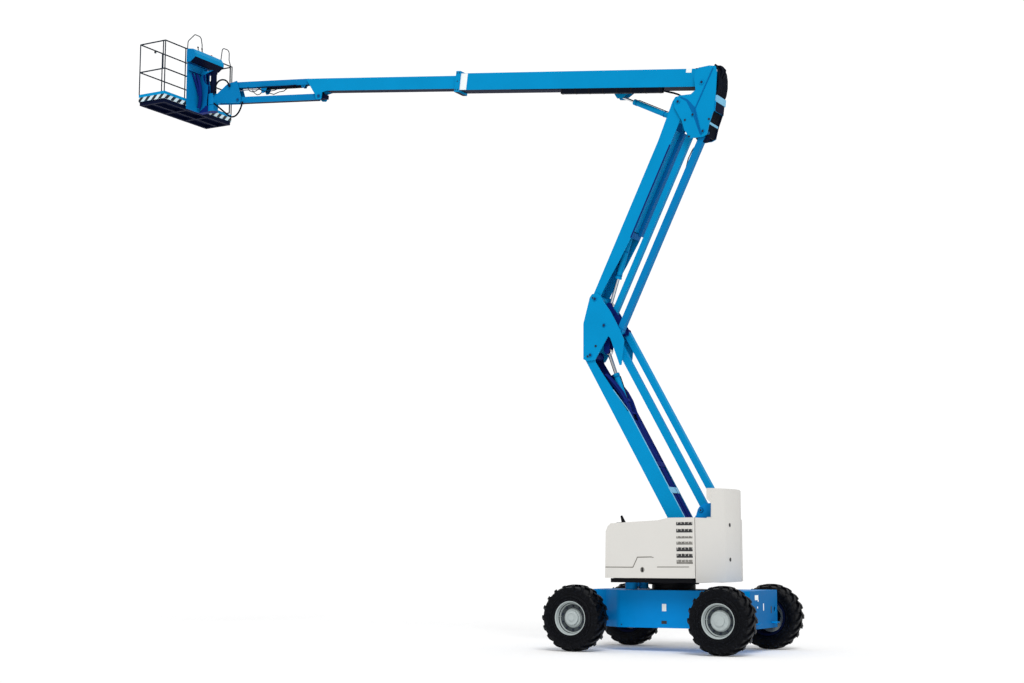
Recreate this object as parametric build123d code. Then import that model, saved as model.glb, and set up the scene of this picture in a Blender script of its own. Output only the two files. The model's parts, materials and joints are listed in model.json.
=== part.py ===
from build123d import *
import math
import os

# Articulating boom lift: four-wheel self-propelled platform on a Z-type double riser,
# with a telescopic main boom, a jib and a rotating work platform.
# Millimetres. +X is where the boom points, +Y the machine's left side, +Z up.
# The pieces are laid out from the slewing axis on the ground, then moved by -XC
# so that the frame's origin is at the middle of the footprint of the whole box.

os.makedirs("parts", exist_ok=True)

# ------------------------------------------------------------------ driving sizes
TYRE_R, TYRE_W, RIM_R = 515.0, 380.0, 275.0
WHEEL_X, WHEEL_Y = 1225.0, 1035.0          # half wheelbase, half track
KING_Y = 800.0                             # steering kingpin
CH_Z0, CH_Z1, CH_W = 368.0, 945.0, 590.0   # chassis box, half width
CH_REAR, CH_SHOULDER, CH_FRONT = -1495.0, 650.0, 1345.0
NOSE_W = 330.0                             # half width of the chassis ahead of the shoulder

A_BOT, A_TOP = (-331.0, 1705.0), (1345.0, 4735.0)      # lower riser arm pivots (x, z)
B_BOT, B_TOP = (-584.0, 2180.0), (1092.0, 5210.0)      # lower parallel link
C_BOT, KNEE = (-848.0, 2084.0), (828.0, 5114.0)        # lower tension link, knee pin
E_BOT, E_TOP = (1255.0, 5660.0), (-270.0, 8785.0)      # upper riser arm
F_BOT, F_TOP = (996.0, 5408.0), (-529.0, 8533.0)       # upper parallel link
G_TOP = (-697.0, 8239.0)                               # upper tension link, from KNEE
BOOM_P = (-690.0, 9050.0)                              # main boom pivot
BOOM_A = 7.35                                          # main boom angle at rest, degrees
JIB_A = 5.9                                            # jib angle at rest
J_U1, J_L1 = (7180.0, 10238.0), (6975.0, 9920.0)       # jib upper and lower inner pins
J_LEN = 1929.0
K1, K2 = (1110.0, 4800.0), (1065.0, 5560.0)            # riser rod eyes on the mid knuckle
CYL_FOOT, CYL_EYE, CYL_Y = (-450.0, 8412.0), (881.5, 9104.0), -108.0  # main boom lift cylinder and its lane

PLAT_X, PLAT_W, PLAT_D, PLAT_Z, PLAT_H = 10190.0, 1986.0, 620.0, 10045.0, 1150.0
PLAT_Y = 43.0                                          # middle of the platform, left of the machine's middle plane
ROT_X = 9550.0                                         # platform rotator axis
ARM_Y, LINK_Y = 170.0, 40.0                            # half widths of arms and centre links
RAIL_R = 13.0

X_MIN = -(WHEEL_X + TYRE_R)
X_MAX = PLAT_X + PLAT_D / 2 + RAIL_R
XC = (X_MIN + X_MAX) / 2


def ang(p, q):
    return math.degrees(math.atan2(q[1] - p[1], q[0] - p[0]))


def dist(p, q):
    return math.hypot(q[0] - p[0], q[1] - p[1])


def box(x0, x1, y0, y1, z0, z1):
    return Pos((x0 + x1) / 2, (y0 + y1) / 2, (z0 + z1) / 2) * Box(x1 - x0, y1 - y0, z1 - z0)


def at(p, a, shape):
    """Place a shape drawn about the origin at pivot p, turned up by a degrees in the XZ plane."""
    return Pos(p[0], 0, p[1]) * Rot(0, -a, 0) * shape


def cyl_y(x, z, r, y0, y1):
    return Pos(x, (y0 + y1) / 2, z) * Rot(90, 0, 0) * Cylinder(r, y1 - y0)


def cyl_x(x0, x1, y, z, r):
    return Pos((x0 + x1) / 2, y, z) * Rot(0, 90, 0) * Cylinder(r, x1 - x0)


def cyl_z(x, y, r, z0, z1):
    return Pos(x, y, (z0 + z1) / 2) * Cylinder(r, z1 - z0)


def plate(points, y0, y1):
    """A flat plate in the XZ plane between y0 and y1."""
    face = make_face(Polyline(*[(x, y0, z) for x, z in points], close=True))
    return extrude(face, amount=y1 - y0, dir=(0, 1, 0))


def slab(points, z0, z1):
    """A flat plate in plan between z0 and z1."""
    face = make_face(Polyline(*[(x, y, z0) for x, y in points], close=True))
    return extrude(face, amount=z1 - z0, dir=(0, 0, 1))


def tube_box(x0, x1, z0, z1, hw, t):
    """Hollow rectangular tube along X, open at both ends."""
    return box(x0, x1, -hw, hw, z0, z1) - box(x0 - 5, x1 + 5, -hw + t, hw - t, z0 + t, z1 - t)


def mirror_y(shape):
    return mirror(shape, about=Plane.XZ)


PARTS = {}


def put(name, shape, slot=None):
    PARTS[name] = Pos(-XC, 0, 0) * shape


# ------------------------------------------------------------------ chassis
WALL = 16.0


def chassis_plan(inset):
    i = inset
    half = [(CH_REAR + i, CH_W - i), (CH_SHOULDER - i / 3, CH_W - i), (765.0 - i, 535.0 - i), (1030.0 - i, NOSE_W - i), (CH_FRONT - i, NOSE_W - i)]
    return half + [(x, -y) for x, y in reversed(half)]


WIN_X, WIN_Z = 1090.0, 680.0       # the front axle swings in the open space ahead of WIN_X and below WIN_Z
frame = slab(chassis_plan(0), CH_Z0, CH_Z1) - box(WIN_X, 1400, -700, 700, 300, WIN_Z)
frame -= slab(chassis_plan(WALL), CH_Z0 + WALL, CH_Z1 - WALL) - box(WIN_X - WALL, 1400, -700, 700, 300, WIN_Z + WALL)
for x in (-840.0, 620.0):                                                       # inner cross walls
    frame += box(x - 10, x + 10, -CH_W + WALL, CH_W - WALL, CH_Z0 + WALL, CH_Z1 - WALL)
frame -= box(-WHEEL_X - 110, -WHEEL_X + 110, -700, 700, 405, 625)               # rear axle seat
for s in (-1, 1):
    frame -= box(-130, -40, s * CH_W - 40, s * CH_W + 40, CH_Z0 + 62, CH_Z0 + 112)  # side slot
    frame -= cyl_x(CH_REAR - 20, CH_REAR + 60, s * 480, 650, 45)                    # hose holes in the rear plate
for x0 in (WIN_X, CH_FRONT - 20):                                               # cheeks that hold the axle's pin
    frame += box(x0, x0 + 20, -110, 110, 480, WIN_Z) - cyl_x(x0 - 5, x0 + 25, 0, 560, 50)
frame -= cyl_x(WIN_X - 40, WIN_X + 5, 0, 560, 50)
# tie-down eyes: flat plates on the chassis ends, (x of the plate it stands on, y, underside)
LUG_R, LUG_T = 26.0, 25.0
for x, y, z in ((CH_REAR, -380.0, 440.0), (CH_REAR, 380.0, 440.0), (CH_FRONT, -275.0, 740.0), (CH_FRONT, 275.0, 740.0)):
    s = 1 if x > 0 else -1
    x0, x1 = sorted((x, x + s * 95))
    frame += box(x0, x1, y - 55, y + 55, z, z + LUG_T) - cyl_z(x + s * 45, y, LUG_R, z - 10, z + 40)
put("chassis_frame", frame)

# front axle: box beam with clevis ends, and the steering cylinder's barrel on its front
AXLE_PLAN = [(-75, -655), (-45, -705), (45, -705), (75, -655), (75, 655), (45, 705), (-45, 705), (-75, 655)]  # waisted ends clear the steering arms
axle = slab([(WHEEL_X + x, y) for x, y in AXLE_PLAN], 440, 590)
axle += cyl_x(WIN_X - 10, CH_FRONT, 0, 560, 50)
for s in (-1, 1):
    axle += box(WHEEL_X - 40, WHEEL_X + 40, s * 285 - 25, s * 285 + 25, 590, WIN_Z)
TIE_X, TIE_Z = WHEEL_X + 215, 470.0
for s in (-1, 1):
    for z0, z1 in ((395, 437), (593, 635)):
        axle += box(WHEEL_X - 52, WHEEL_X + 52, min(s * 640, s * 800), max(s * 640, s * 800), z0, z1) + cyl_z(WHEEL_X, s * KING_Y, 52, z0, z1)
    axle += slab([(WHEEL_X - 60, s * 640), (WHEEL_X + 60, s * 640), (WHEEL_X + 60, s * 672), (WHEEL_X + 45, s * 705), (WHEEL_X - 45, s * 705), (WHEEL_X - 60, s * 672)], 395, 635)
    axle += cyl_z(WHEEL_X, s * KING_Y, 30, 395, 635)
axle += box(WHEEL_X + 75, TIE_X, -150, -120, 440, 500) + box(WHEEL_X + 75, TIE_X, 120, 150, 440, 500)
axle += cyl_y(TIE_X, TIE_Z, 42, -230, 230)
axle -= cyl_y(TIE_X, TIE_Z, 20.05, -260, 260)
put("front_axle", axle)

rear = box(-WHEEL_X - 110, -WHEEL_X + 110, -640, 640, 405, 625)
for s in (-1, 1):
    rear += cyl_y(-WHEEL_X, TYRE_R, 100, min(s * 630, s * 800), max(s * 630, s * 800))
    rear += cyl_y(-WHEEL_X, TYRE_R, 165, min(s * 800, s * 850), max(s * 800, s * 850))
    rear += cyl_y(-WHEEL_X, TYRE_R, 60, min(s * 840, s * 1080), max(s * 840, s * 1080))
put("rear_axle", rear)

# steering knuckles: swivel block, spindle and steering arm
for side, s in (("left", 1), ("right", -1)):
    kn = box(WHEEL_X - 55, WHEEL_X + 55, min(s * 745, s * 860), max(s * 745, s * 860), 445, 585)
    kn += cyl_y(WHEEL_X, TYRE_R, 105, min(s * 858, s * 885), max(s * 858, s * 885))
    kn += cyl_y(WHEEL_X, TYRE_R, 60, min(s * 880, s * 1080), max(s * 880, s * 1080))
    kn += slab([(WHEEL_X + 40, s * 770), (TIE_X + 30, s * 715), (TIE_X + 30, s * 765), (WHEEL_X + 40, s * 850)], 447, 500) \
        - box(TIE_X - 45, TIE_X + 60, min(s * 690, s * 800), max(s * 690, s * 800), 447, 520)
    kn += slab([(TIE_X - 60, s * 722), (TIE_X + 62, s * 704), (TIE_X + 62, s * 766), (TIE_X - 60, s * 797)], 415, 438) \
        + box(TIE_X - 75, TIE_X - 47, min(s * 728, s * 797), max(s * 728, s * 797), 415, 500)
    kn -= cyl_z(WHEEL_X, s * KING_Y, 30.06, 300, 700)
    put("steering_knuckle_" + side, kn)

tie = cyl_y(TIE_X, TIE_Z, 20, -735, 735)
for s in (-1, 1):
    tie += cyl_z(TIE_X, s * 741, 27, 445, 495)
put("tie_rod", tie)

# ------------------------------------------------------------------ wheels
# tyre section as (radius, offset from the wheel's middle)
TYRE_SEC = [(RIM_R + 0.5, -158), (RIM_R + 28, -160), (RIM_R + 62, -186), (430, -190), (495, -176), (TYRE_R, -150),
            (TYRE_R, 150), (495, 176), (430, 190), (RIM_R + 62, 186), (RIM_R + 28, 160), (RIM_R + 0.5, 158)]
# rim section: barrel with two flanges and a disc set outward
for end, sx in (("front", 1), ("rear", -1)):
    for side, s in (("left", 1), ("right", -1)):
        sec = [(r, y * s) for r, y in TYRE_SEC]
        face = make_face(Polyline(*[(r, y, 0) for r, y in sec], close=True))
        tyre = revolve(face, Axis.Y, 360)
        put(f"tyre_{end}_{side}", Pos(sx * WHEEL_X, s * WHEEL_Y, TYRE_R) * tyre)
        rim_sec = [(RIM_R, -163), (RIM_R + 22, -167), (RIM_R + 22, -174), (RIM_R - 12, -174), (RIM_R - 12, -118),
                   (RIM_R - 30, -88), (RIM_R - 30, 28), (190, 44), (145, 44), (145, -52), (60.1, -52), (60.1, 70), (100, 78),
                   (165, 60), (RIM_R - 16, 44), (RIM_R - 16, 88), (RIM_R - 12, 118), (RIM_R - 12, 174), (RIM_R + 22, 174),
                   (RIM_R + 22, 167), (RIM_R, 163), (RIM_R, 112), (RIM_R - 12, 82), (RIM_R - 12, -82), (RIM_R, -112)]
        rim = revolve(make_face(Polyline(*[(r, y * s, 0) for r, y in rim_sec], close=True)), Axis.Y, 360)
        cap_r = 95 if end == "front" else 78
        rim += cyl_y(0, 0, cap_r, min(s * 60, s * 118), max(s * 60, s * 118)) - cyl_y(0, 0, 62, min(s * 50, s * 100), max(s * 50, s * 100))
        put(f"rim_{end}_{side}", Pos(sx * WHEEL_X, s * WHEEL_Y, TYRE_R) * rim)

# ------------------------------------------------------------------ slewing ring and turntable
ring = cyl_z(0, 0, 345, CH_Z1, 1022) - cyl_z(0, 0, 250, CH_Z1 - 10, 1100)
put("slew_ring", ring)

DECK_Z0, DECK_Z1 = 1064.0, 1128.0
HOOD_Y, HOOD_X0, HOOD_X1 = 985.0, -777.0, 728.0
deck = slab([(690, -860), (690, 860), (-700, 860), (-787, 700), (-787, 285), (-925, 285), (-925, -285), (-787, -285), (-787, -700), (-700, -860)], DECK_Z0, DECK_Z1)
deck += cyl_z(0, 0, 400, 1028, DECK_Z0)
deck -= cyl_z(0, 0, 150, 900, 1200)
for s in (-1, 1):
    y0, y1 = sorted((s * 268, s * 274))
    deck += box(-700, 640, y0, y1, DECK_Z1, 1880)
    y0, y1 = sorted((s * 268, s * 860))
    deck += box(634, 640, y0, y1, DECK_Z1, 1180)
put("turntable_deck", deck)

# riser pedestal: two side plates that hold the lower pivots, tied by a cross box
PED = [(40, DECK_Z1), (40, 1300), (-205, 1790), (-300, 1835), (-500, 2105), (-530, 2195), (-560, 2235), (-640, 2285), (-784, 2288), (-905, 2150), (-905, DECK_Z1)]
ped = Part()
for s in (-1, 1):
    y0, y1 = sorted((s * 222, s * 247))
    ped += plate(PED, y0, y1)
ped += box(-905, -880, -222, 222, DECK_Z1, 1980)
ped += box(-905, 40, -222, 222, DECK_Z1, DECK_Z1 + 20)
ped += box(10, 40, -222, 222, DECK_Z1 + 20, 1280)
for (x, z), r in ((A_BOT, 40), (C_BOT, 30)):
    ped += cyl_y(x, z, r, -262, 262)
ped += cyl_y(B_BOT[0], B_BOT[1], 30, -60, 262)
ped += plate([(-700, DECK_Z1 + 10), (-490, DECK_Z1 + 10), (-500, 1900), (-524, 2210), (-560, 2240), (-608, 2240), (-644, 2210), (-700, 1900)], -60, -46)
put("riser_pedestal", ped)

# one casting: low wings behind the covers, a tall tower each side of the slot that the folded booms lie in
CW_Z0, CW_STEP, CW_TOP, CW_BACK = 1070.0, 2045.0, 2505.0, 2200.0
CW_HALF = [(-787, 975), (-1002, 350), (-1050, 0)]
TOWER = [(-823, 285), (-823, 600), (-917, 600), (-1002, 350), (-1011, 285)]
cw = Part()
for s in (-1, 1):
    cw += slab([(-787, s * 285), (-787, s * 975), (-1002, s * 350), (-1013, s * 285)], CW_Z0, CW_STEP)
    cw += slab([(x, s * y) for x, y in TOWER], CW_STEP, CW_TOP)
    cw -= Pos(-1030, s * 440, CW_TOP) * Rot(0, 0, s * -19) * Rot(0, 45, 0) * Box(90, 800, 90)
cw += slab([(-925, -286), (-925, 286), (-1013, 286), (-1050, 0), (-1013, -286)], CW_Z0, CW_BACK)
cw += slab([(-976, -290), (-976, 290), (-1011, 290), (-1046, 0), (-1011, -290)], CW_BACK, CW_TOP)
for s in (-1, 1):
    cw -= plate([(-800, 2350), (-823, 2344), (-896, 2272), (-890, 2062), (-800, 2062)], *sorted((s * 284, s * 620)))
for z in (1415.0, 1945.0):
    cw -= cyl_x(-1100, -985, 170, z, 30)
put("counterweight", cw)

engine = box(-470, 430, -860, -330, DECK_Z1 + 40, 1720) + box(-400, 360, -800, -390, DECK_Z1, DECK_Z1 + 45)
put("engine_block", engine)
put("slew_drive", cyl_z(520, 470, 95, 952, DECK_Z0) + cyl_z(390, 300, 80, 960, DECK_Z0) + box(400, 500, 300, 440, 1000, DECK_Z0))


HINGE_Y, HINGE_Z = 299.0, 2040.0


def hood(s):
    """Thin cover over one side: outer wall, top, front and rear walls."""
    T = 5.0
    prof = [(HOOD_X0, 1135), (HOOD_X1, 1135), (712, 1854), (677, 1930), (625, 1976), (-169, 2014), (-352, 2050), (HOOD_X0, 2050)]
    y0, y1 = sorted((s * 290, s * HOOD_Y))
    outer = plate(prof, y0, y1)
    cut = [(HOOD_X0 + T, 1100), (HOOD_X1 - T, 1100), (707, 1852), (673, 1927), (622, 1971), (-170, 2009), (-353, 2045), (HOOD_X0 + T, 2045)]
    yi0, yi1 = sorted((s * 250, s * (HOOD_Y - T)))
    cover = outer - plate(cut, yi0, yi1)
    for x in (-720.0, -420.0):                                                      # hinge barrels
        cover += cyl_x(x, x + 60, s * HINGE_Y, HINGE_Z, 7)
    return cover


put("hood_left", hood(1))
put("hood_right", hood(-1))

# ------------------------------------------------------------------ lower riser
LA, AA = dist(A_BOT, A_TOP), ang(A_BOT, A_TOP)
LE, AE = dist(E_BOT, E_TOP), ang(E_BOT, E_TOP)


def lower_arm():
    t = 8.0
    s = tube_box(-60, LA - 1150, -130, 130, ARM_Y, t)
    s += box(-60, -52, -ARM_Y, ARM_Y, -130, 130)
    for x0, x1 in ((120, LA - 2180), (LA - 2090, LA - 1190)):                        # open back, with one tie plate
        s -= box(x0, x1, -148, 148, 118, 135)
    # open head: two side plates whose back edges fall away, and the front plate
    head = [(LA - 1150, -130), (LA + 62, -130), (LA + 85, -60), (LA + 78, 20), (LA + 40, 66), (LA - 30, 66), (LA - 80, 30), (LA - 140, 12),
            (LA - 330, 22), (LA - 1150, 108)]
    for y0, y1 in ((-ARM_Y, -ARM_Y + t), (ARM_Y - t, ARM_Y)):
        s += plate(head, y0, y1)
    s += box(LA - 1150, LA + 50, -ARM_Y, ARM_Y, -130, -122)
    s += box(-60, 90, -ARM_Y - 38, ARM_Y + 38, -70, 70)
    s += cyl_y(0, 0, 78, -ARM_Y - 38, ARM_Y + 38) + cyl_y(LA, 0, 68, -ARM_Y, ARM_Y)
    s -= cyl_y(0, 0, 40.06, -300, 300) + cyl_y(LA, 0, 35.06, -300, 300)
    for y0, y1 in ((-ARM_Y + t, -60), (60, ARM_Y - t)):
        s += box(LA - 1405, LA - 1325, y0, y1, -122, 60)
    s += cyl_y(LA - 1365, 20, 26, -75, 75)
    return s


put("lower_riser_arm", at(A_BOT, AA, lower_arm()))


def link(p, q, hw, depth, y, r_pin, t=6.0):
    """Square tube link with an eye at each end."""
    L, a = dist(p, q), ang(p, q)
    s = tube_box(30, L - 30, -depth / 2, depth / 2, hw, t)
    s += cyl_y(0, 0, depth / 2 + 4, -hw, hw) + cyl_y(L, 0, depth / 2 + 4, -hw, hw)
    s -= cyl_y(0, 0, r_pin + 0.06, -hw - 5, hw + 5) + cyl_y(L, 0, r_pin + 0.06, -hw - 5, hw + 5)
    return Pos(0, y, 0) * at(p, a, s)


put("lower_riser_link", link(B_BOT, B_TOP, LINK_Y, 118, 0, 30))
put("lower_tension_link", link(C_BOT, KNEE, 50, 100, -115, 30))

# mid knuckle: outer plates, web, inner ears, pins
mk = Part()
MK_OUT = [(1210, 5752), (1310, 5745), (1352, 5690), (1472, 5266), (1476, 4673), (1408, 4640), (1264, 4650), (1198, 4753), (1023, 5030), (983, 4995),
          (820, 4540), (790, 4545), (736, 4939), (800, 5090), (877, 5247), (980, 5435), (1098, 5601), (1150, 5700)]
for s in (-1, 1):
    y0, y1 = sorted((s * 180, s * 200))
    mk += plate(MK_OUT, y0, y1)
mk += plate([(1452, 5285), (1475, 5275), (1480, 4960), (1457, 4960)], -180, 180)
for (x, z), r in ((A_TOP, 35), (E_BOT, 35), (B_TOP, 30)):
    mk += cyl_y(x, z, r, -212, 212)
mk += cyl_y(F_BOT[0], F_BOT[1], 30, -60, 60)
# inner plates between the links and the cylinders' eyes; the rods' own pins sit between the stub bosses
EAR = [(1185, 5170), (1200, 5420), (1130, 5450), (1040, 5470), (960, 5470), (765, 5150), (770, 5055), (850, 5040), (1080, 5145)]
EYE1 = [(1160, 4800), (1125, 4755), (1080, 4760), (1062, 4800), (1050, 5150), (1060, 5230), (1140, 5230), (1150, 5100)]
EYE2 = [(1110, 5575), (1080, 5605), (1035, 5595), (960, 5470), (960, 5400), (1150, 5380), (1160, 5440)]
for s in (-1, 1):
    y0, y1 = sorted((s * 46, s * 61))
    mk += plate(EAR, y0, y1)
    y0, y1 = sorted((s * 60, s * 74))
    mk += plate(EYE1, y0, y1) + plate(EYE2, y0, y1)
    y0, y1 = sorted((s * 46, s * 185))
    mk += cyl_y(B_TOP[0], B_TOP[1], 46, y0, y1) + cyl_y(1150, 5400, 30, y0, y1)
    y0, y1 = sorted((s * 50, s * 74))
    for x, z in (K1, K2):
        mk += cyl_y(x, z, 34, y0, y1)
    y0, y1 = sorted((s * 50, s * 176))
    mk += cyl_y(KNEE[0], KNEE[1], 30, y0, y1)
put("mid_knuckle", mk)


def upper_arm():
    t = 8.0
    # z is towards the links behind; open foot for the cylinder at the rear
    s = tube_box(1150, LE - 700, -74, 156, ARM_Y, t)
    s -= box(1250, LE - 660, -148, 148, 146, 160)                                    # open back
    s += box(1230, LE - 420, -166, -64, 112, 192) - box(1220, LE - 410, -158, -70, 118, 186)       # hose tray
    foot = [(1150, -74), (-30, -74), (-72, -30), (-66, 40), (-20, 66), (50, 60), (240, 66), (700, 120), (1150, 156)]
    for y0, y1 in ((-ARM_Y, -ARM_Y + t), (ARM_Y - t, ARM_Y)):
        s += plate(foot, y0, y1)
    # open head: two side plates that the boom's lift cylinder passes between
    head = [(LE - 700, -74), (LE - 20, -112), (LE + 60, -96), (LE + 108, -20), (LE + 100, 70), (LE + 40, 130), (LE - 40, 144), (LE - 700, 156)]
    for y0, y1 in ((-ARM_Y, -ARM_Y + t), (ARM_Y - t, ARM_Y)):
        s += plate(head, y0, y1)
    s += box(-20, 1150, -ARM_Y, ARM_Y, -74, -66)
    s += cyl_y(0, 0, 64, -ARM_Y, ARM_Y)
    s += cyl_y(LE, 0, 62, 60, ARM_Y) + cyl_y(LE, 0, 62, -ARM_Y - 6, -ARM_Y + 8)      # the lift cylinder passes between these bosses
    s -= cyl_y(0, 0, 35.06, -300, 300) + cyl_y(LE, 0, 35.06, -300, 300)
    for y0, y1 in ((-ARM_Y + t, -60), (60, ARM_Y - t)):
        s += box(1325, 1405, y0, y1, -66, 60)
    s += cyl_y(1365, 20, 26, -75, 75)
    return s


put("upper_riser_arm", at(E_BOT, AE, upper_arm()))
put("upper_riser_link", link(F_BOT, F_TOP, LINK_Y, 98, 0, 30))
put("upper_tension_link", link(KNEE, G_TOP, 50, 104, 115, 30))

# top knuckle: outer plates, pins and cross pieces
TK = [(-929, 9287), (-950, 9200), (-925, 8856), (-885, 8564), (-806, 8360), (-760, 8180), (-690, 8150), (-475, 8150), (-373, 8300),
      (-330, 8464), (-205, 8700), (-200, 8830), (-300, 8885), (-497, 8880), (-581, 8943), (-569, 9010), (-560, 9120), (-573, 9243), (-640, 9300), (-821, 9311)]
tk = Part()
for s in (-1, 1):
    y0, y1 = sorted((s * 180, s * 205))
    tk += plate(TK, y0, y1)
for (x, z), r in ((F_TOP, 30), (G_TOP, 30), (BOOM_P, 40)):
    tk += cyl_y(x, z, r, -216, 216)
tk += cyl_y(E_TOP[0], E_TOP[1], 35, 52, 216) + cyl_y(E_TOP[0], E_TOP[1], 35, -216, -160)
tk += cyl_y(CYL_FOOT[0], CYL_FOOT[1], 26, -216, -54)   # short pin for the lift cylinder's foot
tk += plate([(-925, 8720), (-900, 8720), (-878, 8560), (-903, 8550)], -180, 180)
put("top_knuckle", tk)

# ------------------------------------------------------------------ riser cylinders


# bore length open at the head end, and the rod's length kept inside at rest
def barrel(foot, eye, r, length, r_foot, hw, y=0.0, bore=560.0, r_rod=30.0):
    a = ang(foot, eye)
    s = cyl_x(0, length, 0, 0, r) - cyl_x(length - bore, length + 5, 0, 0, r - 9)
    s += cyl_x(length - 40, length, 0, 0, r + 5) - cyl_x(length - 50, length + 5, 0, 0, r_rod + 0.1)
    s += box(0, 60, -hw, hw, -r, r) + cyl_y(0, 0, r_foot + 22, -hw, hw)
    s -= cyl_y(0, 0, r_foot + 0.06, -hw - 5, hw + 5)
    return Pos(0, y, 0) * at(foot, a, s)


def rod(foot, eye, r_rod, length, hw, eye_r, y=0.0, inside=300.0):
    """Piston rod from inside the barrel to its eye; a short pin in the eye is part of the rod."""
    a, L = ang(foot, eye), dist(foot, eye)
    s = cyl_x(length - inside, L, 0, 0, r_rod)
    s += cyl_y(L, 0, eye_r, -hw, hw)
    return Pos(0, y, 0) * at(foot, a, s)


def local(p, a, x, z):
    c, s = math.cos(math.radians(a)), math.sin(math.radians(a))
    return (p[0] + x * c - z * s, p[1] + x * s + z * c)


LF = local(A_BOT, AA, LA - 1365, 20)
UF = local(E_BOT, AE, 1365, 20)
put("lower_riser_cylinder", barrel(LF, K1, 50, 930, 26, 52))
put("lower_riser_rod", rod(LF, K1, 30, 930, 42, 54))
put("upper_riser_cylinder", barrel(UF, K2, 50, 930, 26, 52))
put("upper_riser_rod", rod(UF, K2, 30, 930, 42, 54))

# ------------------------------------------------------------------ main boom
BZ0, BZ1, BY = -53.0, 247.0, 130.0
BOOM_L, EXT_L, EXT_IN = 4730.0, 8070.0, 2860.0
base = tube_box(-60, BOOM_L - 90, BZ0, BZ1, BY, 7)
base += box(BOOM_L - 90, BOOM_L, -BY - 22, BY + 22, BZ0 - 38, BZ1 + 38) \
    - box(BOOM_L - 95, BOOM_L + 5, -106, 106, BZ0 + 97 + 33 - 105, BZ0 + 97 + 33 + 140)
base -= box(-200, BOOM_L + 200, -106, 106, -28.0, 222.0)
base += box(-60, 110, -BY, -BY + 60, -75, BZ1) + box(-60, 110, BY - 60, BY, -75, BZ1)
base += cyl_y(0, 0, 85, -BY, -BY + 60) + cyl_y(0, 0, 85, BY - 60, BY)
base -= cyl_y(0, 0, 40.06, -300, 300)
# ears that hold the lift cylinder's rod eye, under the tube on the right
ca, sa = math.cos(math.radians(BOOM_A)), math.sin(math.radians(BOOM_A))


def boom_xz(q):
    dx, dz = q[0] - BOOM_P[0], q[1] - BOOM_P[1]
    return (dx * ca + dz * sa, -dx * sa + dz * ca)


ex, ez = boom_xz(CYL_EYE)
base += box(ex - 230, ex + 230, CYL_Y - 70, 60, BZ0 - 10, BZ0) - box(ex - 130, ex + 130, CYL_Y - 54, CYL_Y + 54, BZ0 - 20, BZ0)
for y0, y1 in ((CYL_Y - 70, CYL_Y - 54), (CYL_Y + 54, CYL_Y + 70)):
    base += plate([(ex - 210, BZ0 - 9), (ex + 150, BZ0 - 9), (ex + 50, ez - 42), (ex - 50, ez - 42)], y0, y1)
put("boom_base", at(BOOM_P, BOOM_A, base))
TRAY = (720.0, 2600.0)
tray = box(TRAY[0], TRAY[1], 62, 128, BZ0 - 85, BZ0) - box(TRAY[0] - 5, TRAY[1] + 5, 68, 122, BZ0 - 79, BZ0 - 6)
put("cable_tray", at(BOOM_P, BOOM_A, tray))

EZ0, EZ1, EY = -20.0, 214.0, 98.0
t1, l1 = boom_xz(J_U1), boom_xz(J_L1)
ext = tube_box(EXT_IN, 7560, EZ0, EZ1, EY, 6)
# fork at the tip: two cheeks that carry the jib's lower pin and reach past its upper pin
FORK = [(7540, EZ1), (8052, EZ1 - 2), (7800, -95), (7775, -165), (7745, -182), (7670, -182), (7652, -150), (7652, EZ0 - 30), (7540, EZ0)]
for s in (-1, 1):
    y0, y1 = sorted((s * 80, s * EY))
    ext += plate(FORK, y0, y1)
ext += cyl_y(l1[0], l1[1], 28, -EY - 8, EY + 8)
put("boom_extension", at(BOOM_P, BOOM_A, ext))

put("boom_cylinder", barrel(CYL_FOOT, CYL_EYE, 46, 1240, 26, 46, CYL_Y, 1080, 22))
put("boom_rod", rod(CYL_FOOT, CYL_EYE, 22, 1240, 40, 24, CYL_Y, 900))

# ------------------------------------------------------------------ jib
bell = Part()
for s in (-1, 1):
    y0, y1 = sorted((s * 59, s * 73))
    bell += plate([(J_U1[0] - 40, J_U1[1] + 40), (J_U1[0] + 10, J_U1[1] + 44), (J_U1[0] + 46, J_U1[1]), (J_L1[0] + 46, J_L1[1] - 30),
                   (J_L1[0], J_L1[1] - 50), (J_L1[0] - 48, J_L1[1] - 20), (J_L1[0] - 40, J_L1[1] + 40)], y0, y1)
bell += cyl_y(J_U1[0], J_U1[1], 25, -74, 74)
bell += cyl_y(J_L1[0], J_L1[1], 44, 53, 60) + cyl_y(J_L1[0], J_L1[1], 44, -60, -53)
bell -= cyl_y(J_L1[0], J_L1[1], 28.06, -200, 200)
put("jib_bellcrank", bell)

U2 = local(J_U1, JIB_A, J_LEN, 0)
L2 = (U2[0] + J_L1[0] - J_U1[0], U2[1] + J_L1[1] - J_U1[1])
JW = 52.0                                      # half width of the jib arms
ju = tube_box(60, J_LEN - 60, -57, 57, JW, 6)
for x in (0, J_LEN):
    ju += cyl_y(x, 0, 50, -JW, JW)
ju += box(-10, 62, -JW, JW, -40, 40) + box(J_LEN - 62, J_LEN + 10, -JW, JW, -40, 40)
ju -= cyl_y(0, 0, 25.06, -300, 300) + cyl_y(J_LEN, 0, 25.06, -300, 300)
ju -= box(330, J_LEN - 62, -44, 44, -60, -50)  # open below, so that the jib cylinder can rise into it
ju -= box(1730, 1850, -60, 60, -60, -16)
JC_X, JC_Z, JC_R = 190.0, -83.0, 20.0          # foot pin of the jib cylinder on the upper arm
for s in (-1, 1):
    y0, y1 = sorted((s * 32, s * 38))
    ju += plate([(JC_X - 60, -52), (JC_X + 60, -52), (JC_X + 24, JC_Z - 24), (JC_X - 24, JC_Z - 24)], y0, y1) \
        - cyl_y(JC_X, JC_Z, 12.06, -60, 60)
put("jib_upper_arm", at(J_U1, JIB_A, ju))
jl = tube_box(60, J_LEN - 60, -59, 59, JW, 8)
jl -= box(380, J_LEN - 62, -44, 44, 44, 70)
for x, r in ((0, 50), (J_LEN, 48)):
    jl += cyl_y(x, 0, r, -JW, JW)
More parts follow.
